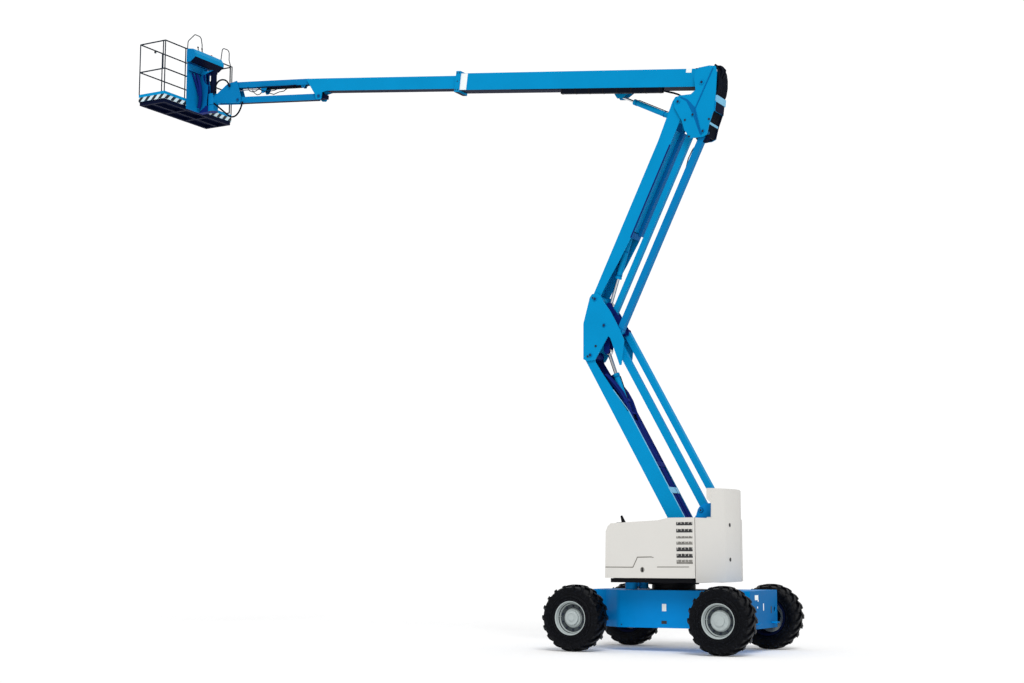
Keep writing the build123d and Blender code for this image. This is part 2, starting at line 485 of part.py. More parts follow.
jl += box(-125, 62, -JW, JW, -40, 36) + box(J_LEN - 62, J_LEN + 10, -JW, JW, -40, 40)
jl -= cyl_y(0, 0, 28.06, -300, 300) + cyl_y(J_LEN, 0, 22.06, -300, 300)
jl -= box(J_LEN - 70, J_LEN + 60, -20, 20, 26, 70)
put("jib_lower_arm", at(J_L1, JIB_A, jl))

# jib cylinder: trunnion on the upper arm, rod eye on the head below the upper pin
JF = local(J_U1, JIB_A, JC_X, JC_Z)
JE = (U2[0] - 100 * math.cos(math.radians(JIB_A)) + 95 * math.sin(math.radians(JIB_A)),
      U2[1] - 100 * math.sin(math.radians(JIB_A)) - 95 * math.cos(math.radians(JIB_A)))
HEAD = [(U2[0] - 175, U2[1] + 62), (U2[0] + 60, U2[1] + 25), (9470, 10262), (9470, 10130), (L2[0] - 40, L2[1] - 62), (L2[0] - 72, L2[1] - 30), (L2[0] - 70, L2[1] + 70)]
head = Part()
for s in (-1, 1):
    y0, y1 = sorted((s * 60, s * 74))
    head += plate(HEAD, y0, y1)
    y0, y1 = sorted((s * 27, s * 62))
    head += cyl_y(JE[0], JE[1], 13, y0, y1)
head += cyl_y(U2[0], U2[1], 25, -80, 80) + cyl_y(L2[0], L2[1], 22, -80, 80)
head += box(9400, 9480, -74, 74, 10130, 10262)
head += cyl_z(ROT_X, 0, 98, 10110, 10330)
head -= cyl_z(ROT_X, 0, 45.06, 9900, 10500)
put("jib_head", head)

ja, jd = ang(JF, JE), dist(JF, JE)
put("jib_cylinder", at(JF, ja, cyl_x(-20, 980, 0, 0, JC_R) - cyl_x(520, 985, 0, 0, JC_R - 5)
                       + (cyl_x(950, 980, 0, 0, JC_R) - cyl_x(940, 990, 0, 0, 12.1))
                       + cyl_y(0, 0, 12, -38, -19) + cyl_y(0, 0, 12, 19, 38)))
put("jib_rod", at(JF, ja, cyl_x(650, jd - 5, 0, 0, 12) + cyl_y(jd, 0, 24, -20, 20)))

# ------------------------------------------------------------------ platform
PX0, PX1 = PLAT_X - PLAT_D / 2, PLAT_X + PLAT_D / 2
PR, PL = PLAT_Y - PLAT_W / 2, PLAT_Y + PLAT_W / 2      # right and left edges
mount = cyl_z(ROT_X, 0, 45, 9990, 10800)
mount += cyl_z(ROT_X, 0, 95, 9985, 10100) + cyl_z(ROT_X, 0, 58, 10340, 10800)
mount += box(ROT_X - 40, 9840, -60, 60, 9985, 10045) + box(ROT_X - 40, 9840, -60, 60, 10740, 10800)
for y0, y1 in ((-60, -45), (45, 60)):                                # curved gussets from the rotator to the back plate
    g = plate([(9600, 9985), (9845, 9985), (9845, 10870), (9780, 10870), (9715, 10760), (9690, 10500), (9664, 10330), (9664, 10110), (9600, 10095)], y0, y1)
    mount += g
mount += box(9838, 9862, -60, 430, 9985, 10900)
mount += box(9790, 9838, -150, 430, 10740, 10900) - box(9785, 9832, -160, 440, 10746, 10894)
put("platform_mount", mount)

floor = box(PX0, PX1, PR, PL, PLAT_Z, PLAT_Z + 8)
for x in (PX0 + 30, PLAT_X, PX1 - 30):
    floor += box(x - 25, x + 25, PR + 20, PL - 20, PLAT_Z - 62, PLAT_Z)
for y in (PR + 40, -260, 340, PL - 40):
    floor += box(PX0 + 5, PX1 - 5, y - 25, y + 25, PLAT_Z - 62, PLAT_Z)
put("platform_floor", floor)

toe = box(PX0 - 6, PX1 + 6, PR - 6, PL + 6, PLAT_Z + 9, PLAT_Z + 150) - box(PX0 - 2, PX1 + 2, PR - 2, PL + 2, PLAT_Z, PLAT_Z + 200)
put("toe_boards", toe)

ZT, ZM = PLAT_Z + PLAT_H - RAIL_R, PLAT_Z + 590


def pipe(p, q, r=RAIL_R):
    d = Vector(*q) - Vector(*p)
    return Plane(origin=Vector(*p), z_dir=d.normalized()) * Cylinder(r, d.length, align=(Align.CENTER, Align.CENTER, Align.MIN))


def rail_side(x, y0, y1, posts):
    s = pipe((x, y0, ZT), (x, y1, ZT)) + pipe((x, y0, ZM), (x, y1, ZM))
    for y in posts:
        s += pipe((x, y, PLAT_Z + 152), (x, y, ZT), 11.0)
    return s


def hoop(points, r=9.0, bend=70.0):
    path = FilletPolyline(*[Vector(*q) for q in points], radius=bend)
    return sweep(Plane(origin=path @ 0, z_dir=path % 0) * Circle(r), path=path)


put("rail_outer", rail_side(PX1, PR, PL, (PR, 415, PL)))
inner = rail_side(PX0, PR, PL, (PR, -250, 455, PL))
inner += hoop([(PX0, 405, ZT), (PX0, 395, 11340), (PX0, 200, 11530), (PX0, 20, 11530), (PX0, -20, 11380), (PX0, -20, ZT)])    # guard hoops over the controls
inner += hoop([(PX0, -905, ZT), (PX0, -850, 11300), (PX0, -850, 11500), (PX0, -640, 11490), (PX0, -590, ZT)])
put("rail_inner", inner)
put("rail_left", pipe((PX0 + RAIL_R + 1, PL, ZT), (PX1 - RAIL_R - 1, PL, ZT)) + pipe((PX0 + RAIL_R + 1, PL, ZM), (PX1 - RAIL_R - 1, PL, ZM))
    + pipe((PX0 + 50, PL, ZM), (PX0 + 50, PL, ZT), 11.0))
GX0, GX1, GZ = PX0 + 45, PX1 - 40, PLAT_Z + 200
gate = pipe((GX0, PR, ZT), (PX1 - 22, PR, ZT)) + pipe((GX0, PR, ZM), (PX1 - 22, PR, ZM))
gate += pipe((GX0, PR, GZ), (GX0, PR, ZT)) + pipe((GX1, PR, GZ), (GX1, PR, ZT)) + pipe((GX0, PR, GZ), (GX1, PR, GZ))
put("platform_gate", gate)

CON = [(9640, 10990), (9640, 11060), (9700, 11150), (9840, 11175), (9860, 11130), (9860, 10905), (9760, 10905)]
CON_IN = [(9648, 10994), (9648, 11055), (9703, 11142), (9836, 11166), (9852, 11127), (9852, 10913), (9765, 10913)]
console = plate(CON, -400, 450) - plate(CON_IN, -392, 442)
put("platform_console", console)

# hoses at the jib's outer end: round hose along straight runs and arcs, points (x, y, z)
HOSE_R, HOSE_BEND = 16.0, 140.0
HOSES = {
    "hose_upper": [(9080, 97, 10395), (9112, 100, 10505), (9265, 104, 10575), (9420, 104, 10505), (9462, 98, 10290)],
    "hose_lower": [(8760, 95, 10060), (8785, 100, 9930), (8895, 105, 9790), (9040, 105, 9785), (9200, 105, 9925), (9452, 98, 10120)],
}
for name, pts in HOSES.items():
    path = FilletPolyline(*[Vector(*q) for q in pts], radius=HOSE_BEND)
    put(name, sweep(Plane(origin=path @ 0, z_dir=path % 0) * Circle(HOSE_R), path=path))

for name, shape in PARTS.items():
    export_step(shape, f"parts/{name}.step")
    print(name, round(shape.volume / 1e9, 5), "m3")
print("XC", XC, "X_MAX", X_MAX - XC)
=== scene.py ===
import json
import math
import bpy
import bmesh
from mathutils import Vector, Matrix


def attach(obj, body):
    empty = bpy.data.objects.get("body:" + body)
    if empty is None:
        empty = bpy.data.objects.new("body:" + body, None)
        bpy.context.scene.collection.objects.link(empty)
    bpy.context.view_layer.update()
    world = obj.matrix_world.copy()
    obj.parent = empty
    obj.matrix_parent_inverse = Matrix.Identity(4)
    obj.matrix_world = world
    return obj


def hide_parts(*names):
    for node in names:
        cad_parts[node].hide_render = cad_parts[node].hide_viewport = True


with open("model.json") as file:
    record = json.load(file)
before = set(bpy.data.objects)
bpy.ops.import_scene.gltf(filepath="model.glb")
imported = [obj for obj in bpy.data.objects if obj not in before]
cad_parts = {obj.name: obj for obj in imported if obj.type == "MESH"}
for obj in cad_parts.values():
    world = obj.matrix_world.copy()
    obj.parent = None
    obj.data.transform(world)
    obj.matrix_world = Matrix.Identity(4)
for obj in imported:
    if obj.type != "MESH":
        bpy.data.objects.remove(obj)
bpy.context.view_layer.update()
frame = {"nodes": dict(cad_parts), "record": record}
XC = 4.3865                      # the machine frame's slewing axis stands at x = -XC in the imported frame


def M(x, y, z):
    """Machine millimetres to frame metres."""
    return Vector((x / 1000.0 - XC, y / 1000.0, z / 1000.0))


# ------------------------------------------------------------------ materials
def srgb(r, g, b):
    def f(c):
        c /= 255.0
        return c / 12.92 if c <= 0.04045 else ((c + 0.055) / 1.055) ** 2.4
    return (f(r), f(g), f(b), 1.0)


def material(name, colour, rough=0.4, metal=0.0, coat=0.0, coat_rough=0.1, vary=0.06, scale=6.0, bump=0.0, bump_scale=120.0,
             rough_vary=0.08, spec=0.5, dirt_and_highlight=None, dirt_and_highlight_amount=0.0):
    """Painted, moulded or cast surface: colour and roughness wander a little, with a fine bump."""
    m = bpy.data.materials.new(name)
    m.use_nodes = True
    nt = m.node_tree
    n, l = nt.nodes, nt.links
    n.clear()
    out = n.new("ShaderNodeOutputMaterial")
    b = n.new("ShaderNodeBsdfPrincipled")
    l.new(b.outputs[0], out.inputs[0])
    b.inputs["Metallic"].default_value = metal
    b.inputs["Coat Weight"].default_value = coat
    b.inputs["Coat Roughness"].default_value = coat_rough
    b.inputs["Specular IOR Level"].default_value = spec
    tc = n.new("ShaderNodeTexCoord")
    big = n.new("ShaderNodeTexNoise")
    big.inputs["Scale"].default_value = scale
    big.inputs["Detail"].default_value = 6.0
    big.inputs["Roughness"].default_value = 0.6
    l.new(tc.outputs["Object"], big.inputs["Vector"])
    ramp = n.new("ShaderNodeValToRGB")
    c = Vector(colour[:3])
    e = ramp.color_ramp.elements
    e[0].position, e[1].position = 0.3, 0.72
    e[0].color = (*(c * (1 - vary)), 1)
    e[1].color = (*[min(1.0, v) for v in (c * (1 + vary))], 1)
    l.new(big.outputs["Fac"], ramp.inputs["Fac"])
    colour_out = ramp.outputs["Color"]
    # optional second colour in fine noise specks: dirt on the base and rim paints, painted highlight specks on the tyre
    # rubber
    if dirt_and_highlight is not None:
        d = n.new("ShaderNodeTexNoise")
        d.inputs["Scale"].default_value = scale * 4
        d.inputs["Detail"].default_value = 8.0
        d.inputs["Roughness"].default_value = 0.7
        l.new(tc.outputs["Object"], d.inputs["Vector"])
        dr = n.new("ShaderNodeMapRange")
        dr.inputs["From Min"].default_value = 0.52
        dr.inputs["From Max"].default_value = 0.78
        dr.inputs["To Max"].default_value = dirt_and_highlight_amount
        l.new(d.outputs["Fac"], dr.inputs["Value"])
        mx = n.new("ShaderNodeMix")
        mx.data_type = "RGBA"
        l.new(dr.outputs[0], mx.inputs["Factor"])
        l.new(colour_out, mx.inputs[6])
        mx.inputs[7].default_value = dirt_and_highlight
        colour_out = mx.outputs[2]
    l.new(colour_out, b.inputs["Base Color"])
    rr = n.new("ShaderNodeMapRange")
    rr.inputs["To Min"].default_value = max(0.02, rough - rough_vary)
    rr.inputs["To Max"].default_value = min(1.0, rough + rough_vary)
    l.new(big.outputs["Fac"], rr.inputs["Value"])
    l.new(rr.outputs[0], b.inputs["Roughness"])
    if bump:
        fine = n.new("ShaderNodeTexNoise")
        fine.inputs["Scale"].default_value = bump_scale
        fine.inputs["Detail"].default_value = 3.0
        l.new(tc.outputs["Object"], fine.inputs["Vector"])
        bp = n.new("ShaderNodeBump")
        bp.inputs["Strength"].default_value = bump
        bp.inputs["Distance"].default_value = 0.002
        l.new(fine.outputs["Fac"], bp.inputs["Height"])
        l.new(bp.outputs[0], b.inputs["Normal"])
    return m


def stripes(name, dark, light, pitch, along="Y", up="Z", duty=0.5):
    """Slanted hazard stripes in object coordinates."""
    m = material(name, dark, rough=0.5)
    nt = m.node_tree
    n, l = nt.nodes, nt.links
    b = next(x for x in n if x.type == "BSDF_PRINCIPLED")
    tc = n.new("ShaderNodeTexCoord")
    sep = n.new("ShaderNodeSeparateXYZ")
    l.new(tc.outputs["Object"], sep.inputs[0])
    s = n.new("ShaderNodeMath")
    s.operation = "ADD"
    a = n.new("ShaderNodeMath")
    a.operation = "ADD"
    l.new(sep.outputs["X"], a.inputs[0])
    l.new(sep.outputs["Y"], a.inputs[1])
    l.new(a.outputs[0], s.inputs[0])
    l.new(sep.outputs["Z"], s.inputs[1])
    d = n.new("ShaderNodeMath")
    d.operation = "DIVIDE"
    l.new(s.outputs[0], d.inputs[0])
    d.inputs[1].default_value = pitch
    f = n.new("ShaderNodeMath")
    f.operation = "FRACT"
    l.new(d.outputs[0], f.inputs[0])
    g = n.new("ShaderNodeMath")
    g.operation = "GREATER_THAN"
    l.new(f.outputs[0], g.inputs[0])
    g.inputs[1].default_value = duty
    mx = n.new("ShaderNodeMix")
    mx.data_type = "RGBA"
    l.new(g.outputs[0], mx.inputs["Factor"])
    mx.inputs[6].default_value = dark
    mx.inputs[7].default_value = light
    l.new(mx.outputs[2], b.inputs["Base Color"])
    return m


MAT = {
    "boom_blue": material("boom_blue_paint", srgb(0, 137, 193), rough=0.42, vary=0.05, scale=1.6, bump=0.06, bump_scale=260, spec=0.05),
    # a darker copy of the boom blue: painted shade on creases, channel insides and the platform mount's skirts; also
    # used for dark seams and cylinder rings
    "boom_shade": material("boom_blue_deep", srgb(0, 98, 160), rough=0.5, vary=0.06, scale=1.6, bump=0.06, bump_scale=260, spec=0.05),
    "base_blue": material("base_blue_paint", srgb(0, 134, 210), rough=0.4, vary=0.06, scale=1.6, bump=0.06, bump_scale=260, spec=0.06,
                          dirt_and_highlight=srgb(0, 84, 140), dirt_and_highlight_amount=0.2),
    # a darker copy of the base blue: painted shade on the chassis's rear faces
    "base_painted_shade": material("base_blue_painted_shade", srgb(0, 100, 162), rough=0.45, vary=0.06, scale=1.6, bump=0.06, bump_scale=260, spec=0.05,
                          dirt_and_highlight=srgb(0, 70, 120), dirt_and_highlight_amount=0.2),
    # a darker copy of the boom blue: painted shade over the jib, the platform mount, the upper tension link and the
    # console's front
    "jib_painted_shade_blue": material("boom_blue_jib_painted_shade", srgb(2, 118, 178), rough=0.5, vary=0.06, scale=1.6, bump=0.06, bump_scale=260, spec=0.05),
    "light_cover": material("cover_paint", srgb(211, 209, 204), rough=0.45, coat=0.05, vary=0.015, scale=1.2, bump=0.05, bump_scale=300, spec=0.3),
    "dark_metal": material("dark_metal_paint", srgb(12, 13, 20), rough=0.45, vary=0.15, scale=8, bump=0.1, bump_scale=300, spec=0.12),
    "engine_grey": material("engine_cast", srgb(60, 62, 66), rough=0.6, vary=0.2, scale=10, bump=0.5, bump_scale=160),
    "rod_chrome": material("rod_chrome", srgb(205, 208, 212), rough=0.12, metal=1.0, vary=0.03, scale=20),
    "black_plastic": material("black_plastic", srgb(4, 10, 24), rough=0.5, vary=0.15, scale=14, bump=0.1, bump_scale=400, spec=0.08),
    "rail_grey": material("rail_grey_paint", srgb(20, 34, 46), rough=0.45, vary=0.12, scale=10, bump=0.08, bump_scale=300, spec=0.12),
    # the pale specks mixed into the near-black tyre rubber are painted highlights on the lugs
    "tyre_rubber": material("tyre_rubber", srgb(3, 4, 8), rough=0.42, vary=0.3, scale=9, bump=0.8, bump_scale=50, spec=0.09,
                            dirt_and_highlight=srgb(58, 64, 74), dirt_and_highlight_amount=0.45),
    "rim_paint": material("rim_paint", srgb(172, 181, 181), rough=0.4, vary=0.05, scale=6, bump=0.08, bump_scale=240, spec=0.3,
                          dirt_and_highlight=srgb(96, 100, 100), dirt_and_highlight_amount=0.35),
    "rim_shadow": material("rim_well_painted_shade", srgb(66, 73, 76), rough=0.6, vary=0.15, scale=9, bump=0.08, spec=0.2),
    "white_label": material("white_label", srgb(238, 242, 242), rough=0.45, vary=0.02),
    # pale blue for light parts, also used as a painted highlight along the lower arm's edge
    "pale_blue_and_edge_highlight": material("pale_blue_and_edge_highlight", srgb(120, 186, 220), rough=0.45, vary=0.04, spec=0.2),
    # navy and near-black paints: painted shade on undersides, channel insides, recesses and faces turned from the
    # light; the near-black one is also the real colour of some black hoses and the rotator column
    "painted_shade_navy": material("painted_shade_navy", srgb(12, 32, 104), rough=0.55, vary=0.12, scale=4, bump=0.08, spec=0.05),
    "black_and_painted_shade": material("black_and_painted_shade", srgb(4, 12, 40), rough=0.6, vary=0.12, scale=4, bump=0.08, spec=0.05),
    "bolt": material("bolt_steel", srgb(18, 30, 52), rough=0.4, metal=0.3, vary=0.1, scale=30),
    "pin_blue": material("pin_blue", srgb(0, 84, 142), rough=0.45, vary=0.08, scale=10, spec=0.06),
    "crease_shade_and_seam": material("crease_shade_and_seam", srgb(120, 117, 110), rough=0.6, vary=0.05),
    "painted_shade_opening": material("painted_shade_opening", srgb(40, 40, 42), rough=0.7, vary=0.3, scale=12),
    "painted_shade_faint": material("painted_shade_faint", srgb(120, 118, 113), rough=0.7, vary=0.3, scale=12),
    "lamp_red": material("lamp_red", srgb(150, 20, 16), rough=0.25, vary=0.05, scale=20),
    "tread_plate": material("tread_plate", srgb(60, 66, 74), rough=0.45, metal=0.6, vary=0.15, scale=40, bump=0.6, bump_scale=60),
    "hazard": stripes("hazard_stripes", srgb(10, 18, 26), srgb(206, 226, 232), 0.17),
}
for node in frame["record"]["subparts"]:
    name = node["node"]
    o = frame["nodes"].get(name)
    if o is None:
        continue
    o.data.materials.clear()
    o.data.materials.append(MAT[node["material_slot"]])
    for p in o.data.polygons:
        p.material_index = 0


def tint(node, mat, test):
    """Give the faces of a CAD node that pass test(centre, normal), in machine millimetres, another paint."""
    o = frame["nodes"][node]
    o.data.materials.append(MAT[mat])
    k = len(o.data.materials) - 1
    mw = o.matrix_world
    for p in o.data.polygons:
        c = mw @ p.center
        if test(((c.x + XC) * 1000.0, c.y * 1000.0, c.z * 1000.0), (mw.to_3x3() @ p.normal).normalized()):
            p.material_index = k


# ------------------------------------------------------------------ mesh helpers
def finish_bm(name, bm, mat, body, smooth=30.0, bevel=0.0, segments=2, replaces=()):
    me = bpy.data.meshes.new(name)
    bmesh.ops.recalc_face_normals(bm, faces=bm.faces)
    bm.to_mesh(me)
    bm.free()
    o = bpy.data.objects.new(name, me)
    bpy.context.scene.collection.objects.link(o)
    me.materials.append(mat)
    if bevel:
        bv = o.modifiers.new("edge", "BEVEL")
        bv.width = bevel
        bv.segments = segments
        bv.limit_method = "ANGLE"
        bv.angle_limit = math.radians(25)
    for p in me.polygons:
        p.use_smooth = True
    es = o.modifiers.new("split", "EDGE_SPLIT")
    es.split_angle = math.radians(smooth)
    if bevel:
        o.modifiers.remove(es)
        wn = o.modifiers.new("wn", "WEIGHTED_NORMAL")
        wn.keep_sharp = True
    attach(o, body)
    if replaces:
        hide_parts(*replaces)
    return o


def add_prism(bm, pts, y0, y1):
    """Prism of an XZ outline (machine millimetres) between two Y planes."""
    a = [bm.verts.new(M(x, y0, z)) for x, z in pts]
    b = [bm.verts.new(M(x, y1, z)) for x, z in pts]
    bm.faces.new(a)
    bm.faces.new(list(reversed(b)))
    k = len(pts)
    for i in range(k):
        bm.faces.new((a[i], b[i], b[(i + 1) % k], a[(i + 1) % k]))


def add_slab(bm, pts, z0, z1):
    a = [bm.verts.new(M(x, y, z0)) for x, y in pts]
    b = [bm.verts.new(M(x, y, z1)) for x, y in pts]
    bm.faces.new(a)
    bm.faces.new(list(reversed(b)))
    k = len(pts)
    for i in range(k):
        bm.faces.new((a[i], b[i], b[(i + 1) % k], a[(i + 1) % k]))


def add_box(bm, x0, x1, y0, y1, z0, z1):
    add_prism(bm, [(x0, z0), (x1, z0), (x1, z1), (x0, z1)], y0, y1)


def add_tube(bm, pts, r, sides=10, cap=True):
    """Round tube along machine-millimetre points."""
    P = [M(*p) for p in pts]
    rings = []
    n = len(P)
    up = Vector((0, 0, 1))
    prev = None
    for i in range(n):
        t = (P[min(i + 1, n - 1)] - P[max(i - 1, 0)]).normalized()
        ref = prev if prev is not None else (up if abs(t.z) < 0.9 else Vector((1, 0, 0)))
        u = (ref - t * ref.dot(t)).normalized()
        prev = u
        v = t.cross(u)
        ring = []
        for k in range(sides):
            a = 2 * math.pi * k / sides
            ring.append(bm.verts.new(P[i] + (u * math.cos(a) + v * math.sin(a)) * (r / 1000.0)))
        rings.append(ring)
    for i in range(n - 1):
        for k in range(sides):
            bm.faces.new((rings[i][k], rings[i][(k + 1) % sides], rings[i + 1][(k + 1) % sides], rings[i + 1][k]))
    if cap:
        bm.faces.new(rings[0])
        bm.faces.new(list(reversed(rings[-1])))


def add_lathe(bm, centre, axis, profile, sides=32, phase=0.0):
    """Surface of revolution about an axis through centre; profile is (radius mm, distance along the axis mm)."""
    c = M(*centre)
    ax = Vector(axis).normalized()
    ref = Vector((0, 0, 1)) if abs(ax.z) < 0.9 else Vector((1, 0, 0))
    u = (ref - ax * ref.dot(ax)).normalized()
    v = ax.cross(u)
    rings = []
    for r, h in profile:
        if r < 1e-6:
            rings.append([bm.verts.new(c + ax * (h / 1000.0))])
            continue
        rings.append([bm.verts.new(c + ax * (h / 1000.0) + (u * math.cos(2 * math.pi * k / sides + phase) + v * math.sin(2 * math.pi * k / sides + phase)) * (r / 1000.0))
                      for k in range(sides)])
    for a, b in zip(rings, rings[1:]):
        for k in range(sides):
            k2 = (k + 1) % sides
            if len(a) == 1 and len(b) == 1:
                continue
            if len(a) == 1:
                bm.faces.new((a[0], b[k2], b[k]))
            elif len(b) == 1:
                bm.faces.new((a[k], a[k2], b[0]))
            else:
                bm.faces.new((a[k], a[k2], b[k2], b[k]))


def hex_bolt(bm, centre, axis, r, h):
    add_lathe(bm, centre, axis, [(0, 0), (r, 0), (r, h * 0.8), (r * 0.88, h), (0, h)], 6)


def local(p, deg, x, z):
    c, s = math.cos(math.radians(deg)), math.sin(math.radians(deg))
    return (p[0] + x * c - z * s, p[1] + x * s + z * c)


def ang(p, q):
    return math.degrees(math.atan2(q[1] - p[1], q[0] - p[0]))


def dist(p, q):
    return math.hypot(q[0] - p[0], q[1] - p[1])


def rounded(node, body, mat, width, dissolve=1.0, segments=3, angle=30.0):
    """A copy of a CAD node with rounded edges, standing for it."""
    src = frame["nodes"][node]
    bm = bmesh.new()
    bm.from_mesh(src.data)
    bmesh.ops.remove_doubles(bm, verts=bm.verts, dist=0.00002)
    bmesh.ops.dissolve_limit(bm, angle_limit=math.radians(dissolve), verts=bm.verts, edges=bm.edges)
    me = bpy.data.meshes.new(node + "_rounded")
    bm.to_mesh(me)
    bm.free()
    o = bpy.data.objects.new(node + "_rounded", me)
    bpy.context.scene.collection.objects.link(o)
    me.materials.clear()
    me.materials.append(mat)
    for p in me.polygons:
        p.use_smooth = True
        p.material_index = 0
    bv = o.modifiers.new("edge", "BEVEL")
    bv.width = width
    bv.segments = segments
    bv.limit_method = "ANGLE"
    bv.angle_limit = math.radians(angle)
    bv.harden_normals = False
    wn = o.modifiers.new("wn", "WEIGHTED_NORMAL")
    wn.keep_sharp = True
    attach(o, body)
    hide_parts(node)
    return o


# ------------------------------------------------------------------ pivots, machine millimetres (x, z)
A_BOT, A_TOP = (-331.0, 1705.0), (1345.0, 4735.0)
B_BOT, B_TOP = (-584.0, 2180.0), (1092.0, 5210.0)
C_BOT, KNEE = (-848.0, 2084.0), (828.0, 5114.0)
E_BOT, E_TOP = (1255.0, 5660.0), (-270.0, 8785.0)
F_BOT, F_TOP = (996.0, 5408.0), (-529.0, 8533.0)
G_TOP = (-697.0, 8239.0)
BOOM_P, BOOM_A = (-690.0, 9050.0), 7.35
J_U1, J_L1, J_LEN, JIB_A = (7180.0, 10238.0), (6975.0, 9920.0), 1929.0, 5.9
WHEEL_X, WHEEL_Y, TYRE_R = 1225.0, 1035.0, 515.0
AA, LA = ang(A_BOT, A_TOP), dist(A_BOT, A_TOP)
AE, LE = ang(E_BOT, E_TOP), dist(E_BOT, E_TOP)


def boom(x, y, z):
    q = local(BOOM_P, BOOM_A, x, z)
    return (q[0], y, q[1])


# ------------------------------------------------------------------ wheels
def build_tyre(name, cx, cy, body, node, side):
    """Carcass of revolution with two rows of slanted lugs that wrap over the shoulders."""
    bm = bmesh.new()
    S = 72
    prof = [(277, -158), (300, -163), (337, -184), (400, -189), (445, -183), (470, -165), (482, -120), (486, -40), (486, 40), (482, 120),
            (470, 165), (445, 183), (400, 189), (337, 184), (300, 163), (277, 158)]
    rings = []
    for r, y in prof:
        rings.append([bm.verts.new(M(cx + r * math.cos(2 * math.pi * k / S), cy + y, TYRE_R + r * math.sin(2 * math.pi * k / S))) for k in range(S)])
    for a, b in zip(rings, rings[1:] + rings[:1]):
        for k in range(S):
            bm.faces.new((a[k], a[(k + 1) % S], b[(k + 1) % S], b[k]))
    # lug section stations: (y, outer radius, inner radius, sweep along the tread in mm)
    LUG = [(-14, 515, 480, -10), (30, 515, 480, 22), (85, 514, 478, 58), (135, 510, 474, 84), (168, 496, 462, 98), (186, 470, 440, 104), (189, 436, 420, 106), (191.5, 402, 384, 110)]
    N = 19
    for row in (-1, 1):
        for k in range(N):
            t0 = 2 * math.pi * (k + (0.5 if row > 0 else 0.0)) / N
            sta = []
            for y, ro, ri, sw in LUG:
                w = 26 if y < 150 else 20
                quad = []
                for r, dw in ((ri, w + 5), (ro, w), (ro, -w), (ri, -w - 5)):
                    a = t0 + (sw + dw) / 500.0
                    quad.append(bm.verts.new(M(cx + r * math.cos(a), cy + row * y, TYRE_R + r * math.sin(a))))
                sta.append(quad)
            for a, b in zip(sta, sta[1:]):
                for i in range(4):
                    bm.faces.new((a[i], a[(i + 1) % 4], b[(i + 1) % 4], b[i]))
            bm.faces.new(sta[0])
            bm.faces.new(list(reversed(sta[-1])))
    # raised rings on the sidewall
    for s in (-1, 1):
        add_lathe(bm, (cx, cy, TYRE_R), (0, s, 0), [(352, 184), (356, 191), (364, 191), (368, 184)], 64)
        add_lathe(bm, (cx, cy, TYRE_R), (0, s, 0), [(312, 168), (318, 180), (326, 182), (334, 178)], 64)
    # bead that laps over the rim flange on the outer side
    add_lathe(bm, (cx, cy, TYRE_R), (0, side, 0), [(262, 168), (261, 179), (266, 184), (288, 186), (312, 180), (318, 168)], 64)
    return finish_bm(name, bm, MAT["tyre_rubber"], body, smooth=35, replaces=(node,))


def build_wheel_trim(name, cx, cy, body, s, end):
    """Rim steps, a dark well of painted shade, wheel nuts, hub and valve on the outer side."""
    c0 = (cx, cy, TYRE_R)
    bm = bmesh.new()
    for k in range(10):
        a = 2 * math.pi * (k + 0.5) / 10
        hex_bolt(bm, (cx + 184 * math.cos(a), cy + s * 64, TYRE_R + 184 * math.sin(a)), (0, s, 0), 16, 26)
    finish_bm(name + "_nuts", bm, MAT["bolt"], body, smooth=25)
    bm = bmesh.new()
    # painted shade: a dark grey ring stands for the shadow in the well between the hub and the barrel
    add_lathe(bm, c0, (0, s, 0), [(150, 61), (150, 68), (222, 66), (240, 72), (258, 92), (259, 120), (262, 120), (262, 60)], 64)
    finish_bm(name + "_well", bm, MAT["rim_shadow"], body, smooth=28)
    bm = bmesh.new()
    # barrel step and rolled outer flange
    add_lathe(bm, c0, (0, s, 0), [(262, 100), (238, 104), (236, 112), (243, 120), (246, 150), (247, 174), (252, 180), (260, 182), (266, 178), (268, 167), (266, 164)], 64)
    add_lathe(bm, c0, (0, s, 0), [(214, 62), (216, 82), (222, 88), (230, 86), (232, 70)], 64)
    if end == "front":
        add_lathe(bm, c0, (0, s, 0), [(140, 60), (140, 86), (134, 94), (112, 97), (110, 122), (102, 132), (74, 134), (70, 126), (46, 126), (44, 136), (0, 138)], 48)
    else:
        add_lathe(bm, c0, (0, s, 0), [(160, 56), (158, 80), (146, 92), (140, 104), (120, 108), (116, 102), (78, 103), (74, 110), (0, 112)], 48)
    add_tube(bm, [(cx + 206, cy + s * 70, TYRE_R + 20), (cx + 214, cy + s * 100, TYRE_R + 22), (cx + 222, cy + s * 124, TYRE_R + 24)], 5, 8)
    return finish_bm(name + "_face", bm, MAT["rim_paint"], body, smooth=28)


# painted shade: each rim's inboard half takes the near-black paint
for _e in ("front", "rear"):
    for _s, _side in ((1, "left"), (-1, "right")):
        _n = f"rim_{_e}_{_side}"
        _ys = [(frame["nodes"][_n].matrix_world @ v.co).y for v in frame["nodes"][_n].data.vertices]
        _ym = (min(_ys) + max(_ys)) * 500.0
        tint(_n, "black_and_painted_shade", lambda c, n, s=_s, ym=_ym: s * (c[1] - ym) < 20)
for end, sx in (("front", 1), ("rear", -1)):
    for side, s in (("left", 1), ("right", -1)):
        tag = f"{end}_{side}"
        cx, cy = sx * WHEEL_X, s * WHEEL_Y
        build_tyre("tyre_tread_" + tag, cx, cy, "wheel_" + tag, "tyre_" + tag, s)
        build_wheel_trim("wheel_" + tag, cx, cy, "wheel_" + tag, s, end)

# ------------------------------------------------------------------ turntable covers
def line_strip(bm, pts, hw, y0, y1):
    for (x0, z0), (x1, z1) in zip(pts, pts[1:]):
        L = math.hypot(x1 - x0, z1 - z0)
        nx, nz = -(z1 - z0) / L * hw, (x1 - x0) / L * hw
        add_prism(bm, [(x0 + nx, z0 + nz), (x1 + nx, z1 + nz), (x1 - nx, z1 - nz), (x0 - nx, z0 - nz)], y0, y1)


